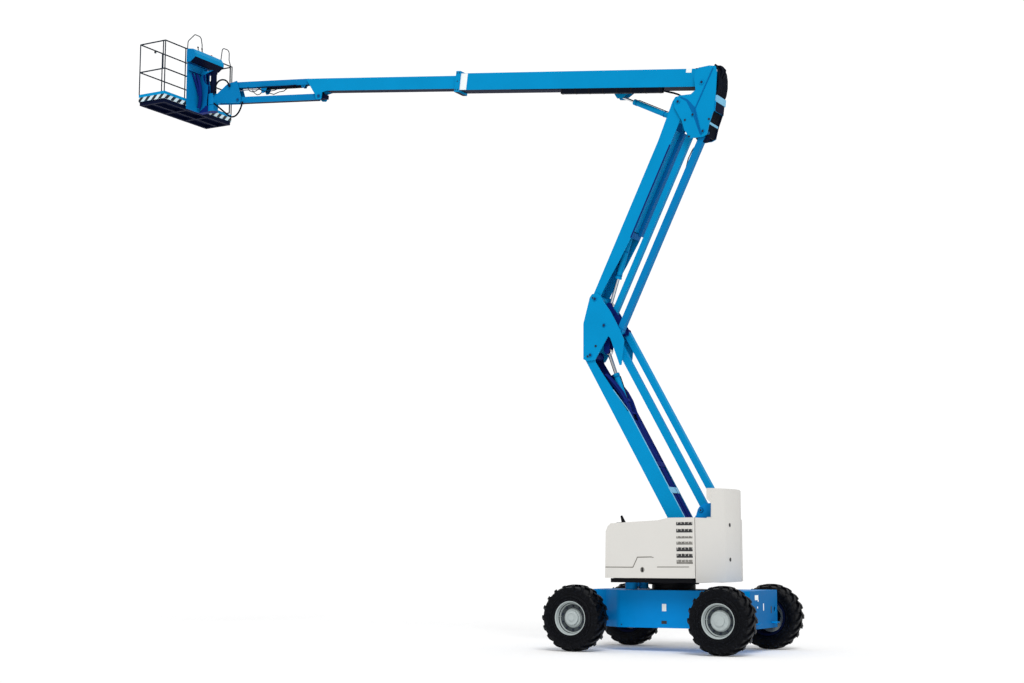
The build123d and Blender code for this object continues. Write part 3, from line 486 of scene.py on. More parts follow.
for side, s in (("left", 1), ("right", -1)):
    rounded("hood_" + side, "hood_" + side, MAT["light_cover"], 0.004)
    HY = 985.0
    # pressed line along the lower part of the cover, ending in a step, and the seam of the rear door, in a darker grey:
    # painted shade in the crease, a dark joint at the seam
    bm = bmesh.new()
    y0, y1 = sorted((s * (HY - 1), s * (HY + 2.4)))
    line_strip(bm, [(719, 1301), (249, 1299), (172, 1452), (-62, 1456)], 7, y0, y1)
    line_strip(bm, [(-154, 1304), (-681, 1306)], 6, y0, y1)
    line_strip(bm, [(-62, 1456), (-98, 1446)], 5, y0, y1)
    finish_bm(f"hood_line_{side}", bm, MAT["crease_shade_and_seam"], "hood_" + side)
    # a raised lip over the line catches the light
    bm = bmesh.new()
    line_strip(bm, [(719, 1312), (255, 1310), (176, 1464), (-62, 1468)], 4, y0, y1)
    finish_bm(f"hood_lip_{side}", bm, MAT["light_cover"], "hood_" + side)
    # louvres: rows of slots with lips between them; some rows are shallower. The slot mouths are near-black painted
    # shade, the shallower rows a paler painted shade.
    bm, faint, lip = bmesh.new(), bmesh.new(), bmesh.new()
    x0, x1 = -746.0, -480.0
    rows = [(1957, 50, 0), (1851, 54, 0), (1752, 34, 1), (1664, 46, 1), (1571, 60, 0), (1474, 60, 0), (1383, 62, 1)]
    for z, h, weak in rows:
        target = faint if weak else bm
        y0, y1 = sorted((s * (HY - 2), s * (HY + 1.5)))
        add_box(target, x0, x1, y0, y1, z - h / 2, z + h / 2)
        for j in range(9):
            xa = x0 + (x1 - x0) * j / 9 + 4
            xb = x0 + (x1 - x0) * (j + 1) / 9 - 4
            ya, yb = sorted((s * (HY - 1), s * (HY + 8)))
            dz = 3 * math.sin(j * 2.1 + z)
            add_prism(lip, [(xa, z + h / 2 - 2 + dz), (xb, z + h / 2 - 2 + dz), (xb, z + h / 2 + 3), (xa, z + h / 2 + 3)], ya, ya + 5)
            if j % 2 == 0:
                add_prism(lip, [(xa, z - 3), (xa + 7, z - 3), (xa + 7, z + h / 2), (xa, z + h / 2)], ya, ya + 4)
    finish_bm(f"hood_louvre_mouths_{side}", bm, MAT["painted_shade_opening"], "hood_" + side)
    finish_bm(f"hood_louvre_shallow_{side}", faint, MAT["painted_shade_faint"], "hood_" + side)
    finish_bm(f"hood_louvre_lips_{side}", lip, MAT["light_cover"], "hood_" + side)
    # paddle latch in its recess
    bm = bmesh.new()
    y0, y1 = sorted((s * (HY - 1), s * (HY + 3)))
    c = (92, 1262)
    # painted shade: a grey oval stands for the latch's recess
    add_prism(bm, [(c[0] + 34 * math.cos(t * math.pi / 8), c[1] + 42 * math.sin(t * math.pi / 8)) for t in range(16)], y0, y1)
    finish_bm(f"hood_latch_cup_{side}", bm, MAT["painted_shade_faint"], "hood_" + side, bevel=0.001)
    bm = bmesh.new()
    y0, y1 = sorted((s * (HY + 2), s * (HY + 9)))
    add_box(bm, c[0] - 12, c[0] + 12, y0, y1, c[1] - 30, c[1] + 26)
    finish_bm(f"hood_latch_{side}", bm, MAT["dark_metal"], "hood_" + side, bevel=0.003)
    # hinge leaves along the inner top edge
    bm = bmesh.new()
    for x in (-720, -420, -60, 300):
        z = 2052 if x < -300 else 2008 - (x + 60) * 0.045
        ya, yb = sorted((s * 296, s * 350))
        add_box(bm, x, x + 60, ya, yb, z - 6, z + 1.5)
    finish_bm(f"hood_hinges_{side}", bm, MAT["dark_metal"], "hood_" + side, bevel=0.001)

# folded bracket on the left cover
bm = bmesh.new()
add_prism(bm, [(556, 1962), (556, 1984), (468, 1992), (486, 2086), (456, 2100), (398, 1994), (392, 1972)], 915, 923)
add_box(bm, 404, 552, 880, 923, 1968, 1988)
finish_bm("hood_bracket", bm, MAT["dark_metal"], "hood_left", bevel=0.002)

rounded("counterweight", "turntable", MAT["light_cover"], 0.022, segments=4)
# painted shade: dark discs stand for the counterweight's lifting holes
bm = bmesh.new()
for z in (1415.0, 1945.0):
    add_lathe(bm, (-1030, 170, z), (-1, 0, 0), [(0, -20), (31, -20), (31, 1), (0, 1)], 20)
finish_bm("counterweight_sockets", bm, MAT["painted_shade_opening"], "turntable")

# slewing ring bolts above and below the ring
bm = bmesh.new()
for k in range(36):
    a = 2 * math.pi * k / 36
    hex_bolt(bm, (372 * math.cos(a), 372 * math.sin(a), 1062), (0, 0, -1), 9, 12)
finish_bm("ring_bolts_upper", bm, MAT["bolt"], "turntable")
bm = bmesh.new()
for k in range(36):
    a = 2 * math.pi * (k + 0.5) / 36
    hex_bolt(bm, (320 * math.cos(a), 320 * math.sin(a), 1018), (0, 0, 1), 8, 8)
finish_bm("ring_bolts_lower", bm, MAT["bolt"], "chassis")

# ------------------------------------------------------------------ chassis details
chassis_piece = rounded("chassis_frame", "chassis", MAT["base_blue"], 0.004, segments=2)
if chassis_piece is not None:
    # painted shade: the chassis's rear faces take the darker base blue
    chassis_piece.data.materials.append(MAT["base_painted_shade"])
    for p in chassis_piece.data.polygons:
        if p.normal.x < -0.7:
            p.material_index = len(chassis_piece.data.materials) - 1
bm = bmesh.new()
for s in (-1, 1):
    y0, y1 = sorted((s * 589.5, s * 592))
    add_box(bm, -125, -55, y0, y1, 625, 735)
finish_bm("chassis_labels", bm, MAT["white_label"], "chassis")
bm = bmesh.new()
for s in (-1, 1):
    # dark mouth of the side slot
    # painted shade: a dark box stands for the inside of the slot
    y0, y1 = sorted((s * 560, s * 588))
    add_box(bm, -128, -42, y0, y1, 432, 478)
finish_bm("chassis_slots", bm, MAT["painted_shade_opening"], "chassis")
bm = bmesh.new()
for s in (-1, 1):
    for x, z in ((640, 410), (-640, 410)):
        hex_bolt(bm, (x, s * 590, z), (0, s, 0), 10, 7)
finish_bm("chassis_bolts", bm, MAT["bolt"], "chassis")
# rear face: blank plates and a slot; the end plate's darker blue, set above, is painted shade
bm = bmesh.new()
add_box(bm, -1497.5, -1495, 240, 384, 806, 880)
add_box(bm, -1497.5, -1495, 228, 262, 782, 808)
add_box(bm, -1497.5, -1495, 4, 32, 640, 750)
add_box(bm, -1497.5, -1495, 262, 290, 680, 708)
finish_bm("rear_labels", bm, MAT["white_label"], "chassis")
bm = bmesh.new()
# painted shade: a dark oval plate stands for the hole in the end plate
pts = [(-316 + 17 * math.cos(t * math.pi / 10), 646 + (38 if math.sin(t * math.pi / 10) > 0 else -38) + 17 * math.sin(t * math.pi / 10)) for t in range(20)]
f = [bm.verts.new(M(-1498, y, z)) for y, z in pts]
g = [bm.verts.new(M(-1490, y, z)) for y, z in pts]
bm.faces.new(f)
bm.faces.new(g[::-1])
for i in range(20):
    j = (i + 1) % 20
    bm.faces.new((f[i], g[i], g[j], f[j]))
bmesh.ops.recalc_face_normals(bm, faces=bm.faces)
finish_bm("rear_slot", bm, MAT["painted_shade_opening"], "chassis")

# ------------------------------------------------------------------ pins on the riser and knuckles
def pin_caps(name, body, pts, y, r, mat="pin_blue"):
    bm, bo = bmesh.new(), bmesh.new()
    for x, z in pts:
        for s in (-1, 1):
            add_lathe(bm, (x, s * y, z), (0, s, 0), [(r + 10, -6), (r + 10, 3), (r + 7, 6), (0, 6)], 28)
            hex_bolt(bo, (x, s * (y + 5), z), (0, s, 0), r * 0.42, 10)
    finish_bm(name, bm, MAT[mat], body)
    finish_bm(name + "_bolts", bo, MAT["bolt"], body)


def arm_local(c, p, deg):
    """Position of a machine point along and across an arm."""
    a = math.radians(deg)
    return (c[0] - p[0]) * math.cos(a) + (c[2] - p[1]) * math.sin(a), (c[2] - p[1]) * math.cos(a) - (c[0] - p[0]) * math.sin(a)


def caps(name, body, pts, y, r, bolt_r):
    """Flat keeper plates with one bolt, both sides."""
    bm, bo = bmesh.new(), bmesh.new()
    for x, z in pts:
        for s in (-1, 1):
            add_lathe(bm, (x, s * y, z), (0, s, 0), [(r, -6), (r, 3), (r - 3, 6), (0, 6)], 28)
            hex_bolt(bo, (x, s * (y + 5), z), (0, s, 0), bolt_r, 10)
    finish_bm(name, bm, MAT["pin_blue"], body)
    finish_bm(name + "_bolts", bo, MAT["bolt"], body)


caps("mid_pins", "mid_knuckle", [A_TOP, E_BOT, B_TOP], 208, 30, 17)
caps("top_pins", "top_knuckle", [E_TOP, F_TOP, G_TOP, BOOM_P], 212, 26, 16)
caps("pedestal_pins", "turntable", [C_BOT], 255, 36, 14)
caps("pedestal_pin_main", "turntable", [A_BOT], 255, 48, 18)
caps("pedestal_pin_link", "turntable", [B_BOT], 255, 40, 17)
bm = bmesh.new()
for x, z in ((1289, 5678), (1394, 4716), (1247, 4879)):
    for s in (-1, 1):
        hex_bolt(bm, (x, s * 200, z), (0, s, 0), 20, 10)
finish_bm("mid_knuckle_bolts", bm, MAT["bolt"], "mid_knuckle")
bm = bmesh.new()
for x, z in ((-289, 8776), (-389, 8463), (-805, 8424), (-455, 8181)):
    for s in (-1, 1):
        hex_bolt(bm, (x, s * 205, z), (0, s, 0), 19, 10)
finish_bm("top_knuckle_bolts", bm, MAT["bolt"], "top_knuckle")

# painted shade: navy between the mid knuckle's plates and on the lower tension link's end at the knee
tint("mid_knuckle", "painted_shade_navy", lambda c, n: abs(c[1]) < 175)
tint("lower_tension_link", "painted_shade_navy", lambda c, n: arm_local(c, C_BOT, ang(C_BOT, KNEE))[0] > dist(C_BOT, KNEE) - 60)
# pressed creases on the top knuckle's plates, in the darker blue as painted shade
bm = bmesh.new()
for s in (-1, 1):
    y0, y1 = sorted((s * 204, s * 214))
    line_strip(bm, [(-893, 9262), (-566, 8622)], 9, y0, y1)
    line_strip(bm, [(-566, 8622), (-668, 8180)], 9, y0, y1)
finish_bm("top_knuckle_creases", bm, MAT["boom_shade"], "top_knuckle", bevel=0.003)
# painted shade: a darker blue gusset outline on each plate
bm = bmesh.new()
for s in (-1, 1):
    y0, y1 = sorted((s * 204, s * 208))
    add_prism(bm, [(-575, 8640), (-440, 8800), (-330, 8860), (-300, 8852), (-420, 8770), (-500, 8600), (-560, 8440), (-640, 8200), (-668, 8200), (-620, 8420)], y0, y1)
finish_bm("top_knuckle_gusset", bm, MAT["boom_shade"], "top_knuckle", bevel=0.0015)

# hose bundle over the back of the top knuckle, with its clamps
bm = bmesh.new()
BACK = [(-906, 9320), (-930, 9296), (-960, 9230), (-972, 9120), (-968, 9000), (-944, 8880), (-880, 8740), (-846, 8560), (-790, 8410), (-762, 8330), (-738, 8240), (-726, 8170)]
for k, y in enumerate((-176, -128, -80, -32, 16, 64, 112, 158)):
    w = 2.5 * math.sin(k * 1.7)
    add_tube(bm, [(x + w * math.sin(i * 0.9 + k), y + 3 * math.sin(i * 0.7 + k), z + w * 0.5) for i, (x, z) in enumerate(BACK)], 19, 10)
finish_bm("knuckle_hoses", bm, MAT["black_plastic"], "top_knuckle", smooth=60)
# painted shade: the knuckle's rear-facing faces and the far plate's inner face in near-black
tint("top_knuckle", "black_and_painted_shade", lambda c, n: (n.x < -0.5 and c[1] < 178) or (c[1] < -170 and n.y > 0.9))
bm = bmesh.new()
for (xa, za), (xb, zb) in (((-940, 8812), (-926, 8700)), ((-806, 8385), (-794, 8352))):
    add_prism(bm, [(xa - 6, za), (xa + 2, za), (xb + 2, zb), (xb - 6, zb)], -199, 176)
    for y0, y1 in ((-205, -199), (172, 178)):
        add_prism(bm, [(xa - 6, za), (xa + 60, za - 2), (xb + 60, zb + 2), (xb - 6, zb)], y0, y1)
finish_bm("knuckle_clamps", bm, MAT["pale_blue_and_edge_highlight"], "top_knuckle", bevel=0.002)
bm = bmesh.new()
add_tube(bm, [(-920, 120, 9296), (-980, 122, 9290), (-1020, 124, 9250), (-1022, 124, 9200), (-1006, 122, 9160), (-980, 120, 9130)], 20, 10)
add_tube(bm, [(-920, 30, 9300), (-990, 32, 9290), (-1030, 34, 9240), (-1022, 34, 9180), (-984, 32, 9130)], 18, 10)
add_box(bm, -1010, -950, 60, 130, 9246, 9296)
finish_bm("knuckle_elbows", bm, MAT["black_plastic"], "top_knuckle", smooth=60)
bm = bmesh.new()
for k, y in enumerate((66, 104, 142)):
    add_tube(bm, [(-742, y, 8170), (-738, y, 8120), (-716, y, 8092), (-682, y, 8090), (-660, y, 8112), (-655, y, 8160)], 20, 10)
add_tube(bm, [(-560, 30, 8300), (-520, 30, 8180), (-560, 34, 8120), (-610, 40, 8110), (-650, 50, 8120)], 18, 10)
finish_bm("knuckle_loop", bm, MAT["black_and_painted_shade"], "top_knuckle", smooth=60)
bm = bmesh.new()
_L, _a = dist(KNEE, G_TOP), ang(KNEE, G_TOP)
add_tube(bm, [(lambda q: (q[0], y, q[1]))(local(KNEE, _a, x, z)) for x, y, z in ((_L - 150, 60, -48), (_L - 210, 60, -78), (_L - 330, 62, -112), (_L - 480, 66, -118), (_L - 620, 70, -92), (_L - 720, 74, -66), (_L - 760, 76, -50))], 9, 8)
finish_bm("link_cable", bm, MAT["black_plastic"], "upper_tension", smooth=60)


def loc(p, deg, pts):
    return [local(p, deg, x, z) for x, z in pts]


# ------------------------------------------------------------------ lower riser arm
# painted highlight: a pale strip along the lower arm's outer edge
bm = bmesh.new()
add_prism(bm, loc(A_BOT, AA, [(60, 131), (LA - 1150, 131), (LA - 700, 62), (LA - 700, 56), (LA - 1150, 125), (60, 125)]), 150, 170.8)
finish_bm("lower_arm_edge_highlight", bm, MAT["pale_blue_and_edge_highlight"], "lower_arm")
bm = bmesh.new()
add_prism(bm, loc(A_BOT, AA, [(790, 118), (900, 118), (900, 134), (790, 134)]), -168, 171)
finish_bm("lower_arm_tab", bm, MAT["pale_blue_and_edge_highlight"], "lower_arm", bevel=0.002)
bm = bmesh.new()
# hoses clipped along the open back, and their slack beside the head, in navy as painted shade
for k, (y, r, dz) in enumerate(((130, 17, 0), (96, 20, 12), (58, 17, -4), (20, 20, 10), (-18, 17, 0), (-56, 20, 12), (-96, 18, 2), (-132, 18, 8))):
    pts = [(120 + 340 * i, 96 + dz + 10 * math.sin(i * 1.3 + k)) for i in range(int((LA - 1300 - 120) / 340) + 1)]
    add_tube(bm, [(lambda q: (q[0], y, q[1]))(local(A_BOT, AA, x, z)) for x, z in pts], r, 8)
finish_bm("lower_arm_hoses", bm, MAT["painted_shade_navy"], "lower_arm", smooth=60)
# painted shade: navy hose loops and two flat navy sheets fill the dark band beside the head
bm = bmesh.new()
for k, (y, r) in enumerate(((128, 18), (98, 20), (104, 20), (-106, 20), (-134, 20))):
    w = (0, 16, -36, 14, -20)[k]
    pts = [(LA - 1300, 104), (LA - 1120, 132 + w / 2), (LA - 960, 148 + w), (LA - 800, 146 + w), (LA - 640, 118 + w), (LA - 500, 84 + w / 2), (LA - 400, 50 + w / 2)]
    add_tube(bm, [(lambda q: (q[0], y, q[1]))(local(A_BOT, AA, x, z)) for x, z in pts], r, 10)
add_prism(bm, loc(A_BOT, AA, [(LA - 1180, 70), (LA - 1180, 128), (LA - 960, 160), (LA - 800, 162), (LA - 640, 140), (LA - 500, 100), (LA - 420, 60), (LA - 520, 30), (LA - 700, 30), (LA - 900, 50)]), -90, -80)
add_prism(bm, loc(A_BOT, AA, [(LA - 1000, 116), (LA - 950, 114), (LA - 950, 196), (LA - 1000, 196)]), 60, 142)
finish_bm("lower_arm_head_hoses", bm, MAT["painted_shade_navy"], "lower_arm", smooth=60)


# painted shade: navy over the inside of the lower arm's open channel
def in_lower_shaded_channel(c, n):
    x, z = arm_local(c, A_BOT, AA)
    return abs(c[1]) < 163 and z > -127 and (x > 1000 or (x > 80 and z < 117))


tint("lower_riser_arm", "painted_shade_navy", in_lower_shaded_channel)

# ------------------------------------------------------------------ upper riser arm
# painted shade: a navy strip along the upper arm's edge and the darker blue inside its channel
bm = bmesh.new()
add_prism(bm, loc(E_BOT, AE, [(1150, 156.6), (LE - 690, 156.6), (LE - 690, 140), (1150, 140)]), 158, 170.8)
finish_bm("upper_arm_edge_shade", bm, MAT["painted_shade_navy"], "upper_arm")
tint("upper_riser_arm", "boom_shade", lambda c, n: abs(c[1]) < 163 and arm_local(c, E_BOT, AE)[1] > -71 and 1100 < arm_local(c, E_BOT, AE)[0] < LE - 200)
bm = bmesh.new()
add_prism(bm, loc(E_BOT, AE, [(1262, 126), (LE - 440, 126), (LE - 440, 134), (1262, 134)]), -62, 146)
finish_bm("upper_arm_cover", bm, MAT["boom_blue"], "upper_arm", bevel=0.002)
# dark seams along both long links
for nm, body, p, q, hw, y, half in (("F", "upper_link", F_BOT, F_TOP, 40, 0, 49), ("G", "upper_tension", KNEE, G_TOP, 50, 115, 52), ("B", "lower_link", B_BOT, B_TOP, 40, 0, 59), ("C", "lower_tension", C_BOT, KNEE, 50, -115, 50)):
    L, a = dist(p, q), ang(p, q)
    bm = bmesh.new()
    for x in (36, L - 42):
        add_prism(bm, loc(p, a, [(x, -half - 1), (x + 8, -half - 1), (x + 8, half + 1), (x, half + 1)]), y - hw - 1, y + hw + 1)
    finish_bm(f"link_seams_{nm}", bm, MAT["boom_shade"], body, bevel=0.002)

# ------------------------------------------------------------------ hydraulic cylinders: end rings, ports and pipes
def cylinder_trim(name, body, foot, eye, length, r, y, mat="boom_shade"):
    a = ang(foot, eye)
    bm = bmesh.new()
    ax = Vector((math.cos(math.radians(a)), 0, math.sin(math.radians(a))))
    f = (foot[0], y, foot[1])
    for x, w in ((70, 18), (length * 0.5, 14), (length - 60, 16)):
        add_lathe(bm, (foot[0] + ax.x * x, y, foot[1] + ax.z * x), ax, [(r - 2, -w / 2), (r + 4, -w / 2), (r + 4, w / 2), (r - 2, w / 2)], 24)
    finish_bm(name + "_rings", bm, MAT[mat], body)
    bm = bmesh.new()
    q0 = local(foot, a, 90, r + 10)
    q1 = local(foot, a, length - 70, r + 10)
    add_tube(bm, [(*local(foot, a, 90, r - 4)[:1], y, local(foot, a, 90, r - 4)[1]), (q0[0], y, q0[1]), (q1[0], y, q1[1]), (local(foot, a, length - 60, r - 4)[0], y, local(foot, a, length - 60, r - 4)[1])], 7, 8)
    return finish_bm(name + "_pipe", bm, MAT["dark_metal"], body, smooth=60)


K1, K2 = (1110.0, 4800.0), (1065.0, 5560.0)
LF, UF = local(A_BOT, AA, LA - 1365, 20), local(E_BOT, AE, 1365, 20)
cylinder_trim("lower_riser_cyl", "lower_riser_barrel", LF, K1, 930, 50, 0)
cylinder_trim("upper_riser_cyl", "upper_riser_barrel", UF, K2, 930, 50, 0)
cylinder_trim("boom_cyl", "boom_barrel", (-450.0, 8412.0), (881.5, 9104.0), 1240, 46, -108)

# ------------------------------------------------------------------ main boom
# painted shade: the boom sections' downward faces in near-black and navy
tint("boom_base", "black_and_painted_shade", lambda c, n: n.z < -0.75)
tint("boom_extension", "painted_shade_navy", lambda c, n: n.z < -0.75)


def boom_prism(bm, pts, y0, y1):
    add_prism(bm, loc(BOOM_P, BOOM_A, pts), y0, y1)


bm = bmesh.new()
for s in (-1, 1):
    y0, y1 = sorted((s * 129.6, s * 131))
    boom_prism(bm, [(4500, -50), (4636, -50), (4636, 244), (4500, 244)], y0, y1)
boom_prism(bm, [(232, 182), (330, 182), (330, 246), (232, 246)], 129.6, 131)
boom_prism(bm, [(232, 182), (330, 182), (330, 246), (232, 246)], -131, -129.6)
finish_bm("boom_white_band", bm, MAT["white_label"], "boom")
bm = bmesh.new()
for s in (-1, 1):
    for x, z in ((4660, 250), (4660, -52), (4708, 250), (4708, -52), (4684, 100)):
        q = local(BOOM_P, BOOM_A, x, z)
        hex_bolt(bm, (q[0], s * 152, q[1]), (0, s, 0), 11, 8)
    for x, z in ((40, 190), (90, 120), (60, -30)):
        q = local(BOOM_P, BOOM_A, x, z)
        hex_bolt(bm, (q[0], s * 130, q[1]), (0, s, 0), 13, 9)
finish_bm("boom_bolts", bm, MAT["bolt"], "boom")
bm = bmesh.new()
# wear pads at the collar
for s in (-1, 1):
    boom_prism(bm, [(4731, 20), (4737, 20), (4737, 180), (4731, 180)], *sorted((s * 98.5, s * 118)))
boom_prism(bm, [(4731, 215), (4737, 215), (4737, 224), (4731, 224)], -60, 60)
boom_prism(bm, [(4731, -26), (4737, -26), (4737, -21), (4731, -21)], -60, 60)
finish_bm("boom_wear_pads", bm, MAT["black_plastic"], "boom")
bm = bmesh.new()
for k, y in enumerate((-96, -60, -24, 12, 48, 84)):
    add_tube(bm, [boom(40, y, 254 + 2 * math.sin(k)), boom(80, y, 258), boom(130, y + 4, 260 + 2 * math.sin(k * 2)), boom(184, y + 4, 256)], 10, 8)
boom_prism(bm, [(90, 247), (120, 247), (120, 274), (90, 274)], -112, 104)
finish_bm("boom_root_hoses", bm, MAT["black_plastic"], "boom", smooth=60)
# tray clips, hoses leaving the tray towards the knuckle
bm = bmesh.new()
for x in range(760, 2600, 260):
    boom_prism(bm, [(x, -141), (x + 26, -141), (x + 26, -52), (x, -52)], 60, 131)
finish_bm("tray_clips", bm, MAT["dark_metal"], "boom", bevel=0.001)
bm = bmesh.new()
for k, y in enumerate((6, 38)):
    add_tube(bm, [boom(740, 84 + 20 * k, -104), boom(690, 70 + 18 * k, -108), boom(620, y + 8, -116), boom(560, y, -126), boom(480, y, -150), boom(430, y, -172)], 14, 8)
finish_bm("tray_hoses", bm, MAT["black_plastic"], "boom", smooth=60)
# painted shade: thin near-black strips under the boom
bm = bmesh.new()
boom_prism(bm, [(940, -66), (1540, -66), (1540, -54), (940, -54)], -128, -40)
boom_prism(bm, [(2600, -60), (3600, -60), (3600, -53.5), (2600, -53.5)], 40, 110)
finish_bm("boom_under_shade_strip", bm, MAT["black_and_painted_shade"], "boom", bevel=0.001)

# ------------------------------------------------------------------ jib
def jib_u(x, z):
    return local(J_U1, JIB_A, x, z)


def jib_l(x, z):
    return local(J_L1, JIB_A, x, z)


U2, L2 = jib_u(J_LEN, 0), jib_l(J_LEN, 0)
# painted shade: the jib arms' undersides, and the lower arm's end beyond its pin, in near-black and navy
tint("jib_upper_arm", "black_and_painted_shade", lambda c, n: n.z < -0.7)
tint("jib_lower_arm", "painted_shade_navy", lambda c, n: n.z < -0.7)
tint("jib_lower_arm", "black_and_painted_shade", lambda c, n: c[0] < J_L1[0] - 50)
for nm, body, pts, y in (("fork", "boom_extension", [J_L1], 106), ("head", "jib_head", [U2, L2], 80), ("crank", "jib_bellcrank", [J_U1], 74)):
    bm, bo = bmesh.new(), bmesh.new()
    for x, z in pts:
        for s in (-1, 1):
            add_lathe(bm, (x, s * y, z), (0, s, 0), [(34, -6), (34, 2), (31, 5), (0, 5)], 24)
            hex_bolt(bo, (x, s * (y + 4), z), (0, s, 0), 13, 7)
    finish_bm(f"jib_pins_{nm}", bm, MAT["pin_blue"], body)
    finish_bm(f"jib_pins_{nm}_bolts", bo, MAT["bolt"], body)
bm = bmesh.new()
# hoses clipped under the upper arm, and the slack loop towards the head
for y, r in ((74, 11), (-74, 11)):
    pts = [jib_u(x, z) for x, z in ((330, -64), (600, -70), (900, -70), (1180, -72))]
    add_tube(bm, [(x, y, z) for x, z in pts], r, 8)
for y, r, w in ((68, 8.5, 0), (-68, 8.5, 24)):
    pts = [jib_u(x, z) for x, z in ((1150, -64), (1215, -104), (1280, -140 - w), (1350, -154 - w), (1420, -136), (1460, -100), (1484, -58))]
    add_tube(bm, [(x, y, z) for x, z in pts], r, 10)
    pts = [jib_u(x, z) for x, z in ((620, -62), (720, -104 - w), (830, -140), (950, -158 - w), (1070, -150), (1180, -112), (1260, -64))]
    add_tube(bm, [(x, y, z) for x, z in pts], r, 10)
finish_bm("jib_hoses", bm, MAT["black_and_painted_shade"], "jib_upper", smooth=60)
bm = bmesh.new()
for y0, y1 in ((63, 69), (-69, -63)):
    add_prism(bm, [jib_u(x, z) for x, z in ((1010, -50), (1170, -50), (1150, -150), (1120, -186), (1060, -176), (1030, -120))], y0, y1)
finish_bm("jib_bracket", bm, MAT["jib_painted_shade_blue"], "jib_upper", bevel=0.001)
# painted shade: the faces of these parts that don't face down take the darker jib blue
for _n in ("jib_upper_arm", "jib_lower_arm", "jib_head", "platform_mount", "upper_tension_link"):
    tint(_n, "jib_painted_shade_blue", lambda c, n: n.z > -0.6)
# the rotator column in near-black; painted shade in navy on the mount's undersides and its side faces beside the plate
tint("platform_mount", "black_and_painted_shade", lambda c, n: math.hypot(c[0] - 9550, c[1]) < 70 and c[2] > 10335)
tint("platform_mount", "painted_shade_navy", lambda c, n: n.z < -0.6 or (c[0] < 9835 and abs(n.y) > 0.9 and c[0] > 9600 and c[2] < 10735))
tint("jib_lower_arm", "black_and_painted_shade", lambda c, n: c[0] < J_L1[0] - 50 or n.z < -0.7)
tint("boom_extension", "black_and_painted_shade", lambda c, n: n.z < -0.75)

# ------------------------------------------------------------------ platform
PX0, PX1, PR, PL, PZ = 9880.0, 10500.0, -950.0, 1036.0, 10045.0
bm = bmesh.new()
for x0, x1, y0, y1 in ((PX0 - 8, PX0 - 6, PR - 6, PL + 6), (PX1 + 6, PX1 + 8, PR - 6, PL + 6), (PX0 - 6, PX1 + 6, PL + 6, PL + 8), (PX0 - 6, PX1 + 6, PR - 8, PR - 6)):
    add_box(bm, x0, x1, y0, y1, PZ + 9, PZ + 92)
finish_bm("toe_stripes", bm, MAT["hazard"], "platform")
# painted shade: the platform floor's lower faces and the console's underside in near-black, the console's front in the
# darker jib blue
tint("platform_floor", "black_and_painted_shade", lambda c, n: n.z < 0.5)
tint("platform_floor", "tread_plate", lambda c, n: n.z > 0.9 and c[2] > PZ + 4)
tint("platform_console", "jib_painted_shade_blue", lambda c, n: n.y > 0.9)
tint("platform_console", "black_and_painted_shade", lambda c, n: n.z < -0.8)
bm = bmesh.new()
add_prism(bm, [(9706, 11158), (9836, 11182), (9840, 11176), (9710, 11150)], -250, 300)
finish_bm("console_panel", bm, MAT["white_label"], "platform", bevel=0.001)
bm = bmesh.new()
for y, h in ((210, 70), (90, 70)):
    add_lathe(bm, (9772, y, 11168), (0.17, 0, 0.98), [(24, 0), (24, 10), (16, 16), (9, 20), (9, h), (15, h + 6), (17, h + 22), (10, h + 32), (0, h + 34)], 20)
for j in range(7):
    y = 20 - j * 38
    add_lathe(bm, (9750 + 14 * (j % 2), y, 11164), (0.17, 0, 0.98), [(12, 0), (12, 8), (9, 12), (0, 12)], 16)
    if j % 3 == 0:
        add_tube(bm, [(9800, y, 11174), (9802, y, 11200)], 4, 8)
finish_bm("console_controls", bm, MAT["black_plastic"], "platform", smooth=40)
bm = bmesh.new()
add_lathe(bm, (9790, -200, 11172), (0.17, 0, 0.98), [(20, 0), (20, 6), (17, 8), (17, 22), (22, 26), (22, 32), (0, 34)], 24)
finish_bm("console_stop", bm, MAT["lamp_red"], "platform")
bm = bmesh.new()
# foot switch on the floor, lanyard plates, gate latch
add_box(bm, 9960, 10120, 160, 290, PZ + 9, PZ + 60)
add_prism(bm, [(9950, PZ + 62), (10130, PZ + 62), (10130, PZ + 104), (10116, PZ + 104), (10116, PZ + 74), (9950, PZ + 74)], 152, 298)
finish_bm("foot_switch", bm, MAT["dark_metal"], "platform", bevel=0.002)
bm = bmesh.new()
for y in (-560, 640):
    add_box(bm, PX1 - 26, PX1 - 12, y - 26, y + 26, 11120, 11176)
finish_bm("lanyard_plates", bm, MAT["hazard"], "platform", bevel=0.002)
bm = bmesh.new()
add_box(bm, 10398, 10458, PR + 12, PR + 26, 10880, 10960)
finish_bm("gate_latch", bm, MAT["dark_metal"], "gate", bevel=0.002)
# curved skirts of the platform mount, and bends along its curve
bm = bmesh.new()
def arc(cx_, cz_, r, a0, a1, n=8):
    return [(cx_ + r * math.cos(math.radians(a0 + (a1 - a0) * i / n)), cz_ + r * math.sin(math.radians(a0 + (a1 - a0) * i / n))) for i in range(n + 1)]
# painted shade: the skirts are drawn in the darker blue
add_prism(bm, [(9838, 10740), (9760, 10740)] + arc(9560, 10700, 200, 0, -70) + [(9640, 10330), (9664, 10120), (9838, 10000)], 62, 68)
add_prism(bm, [(9838, 10740), (9760, 10740)] + arc(9560, 10700, 200, 0, -70) + [(9640, 10330), (9664, 10120), (9838, 10000)], -68, -62)
finish_bm("mount_skirts", bm, MAT["boom_shade"], "platform", bevel=0.002)
bm = bmesh.new()
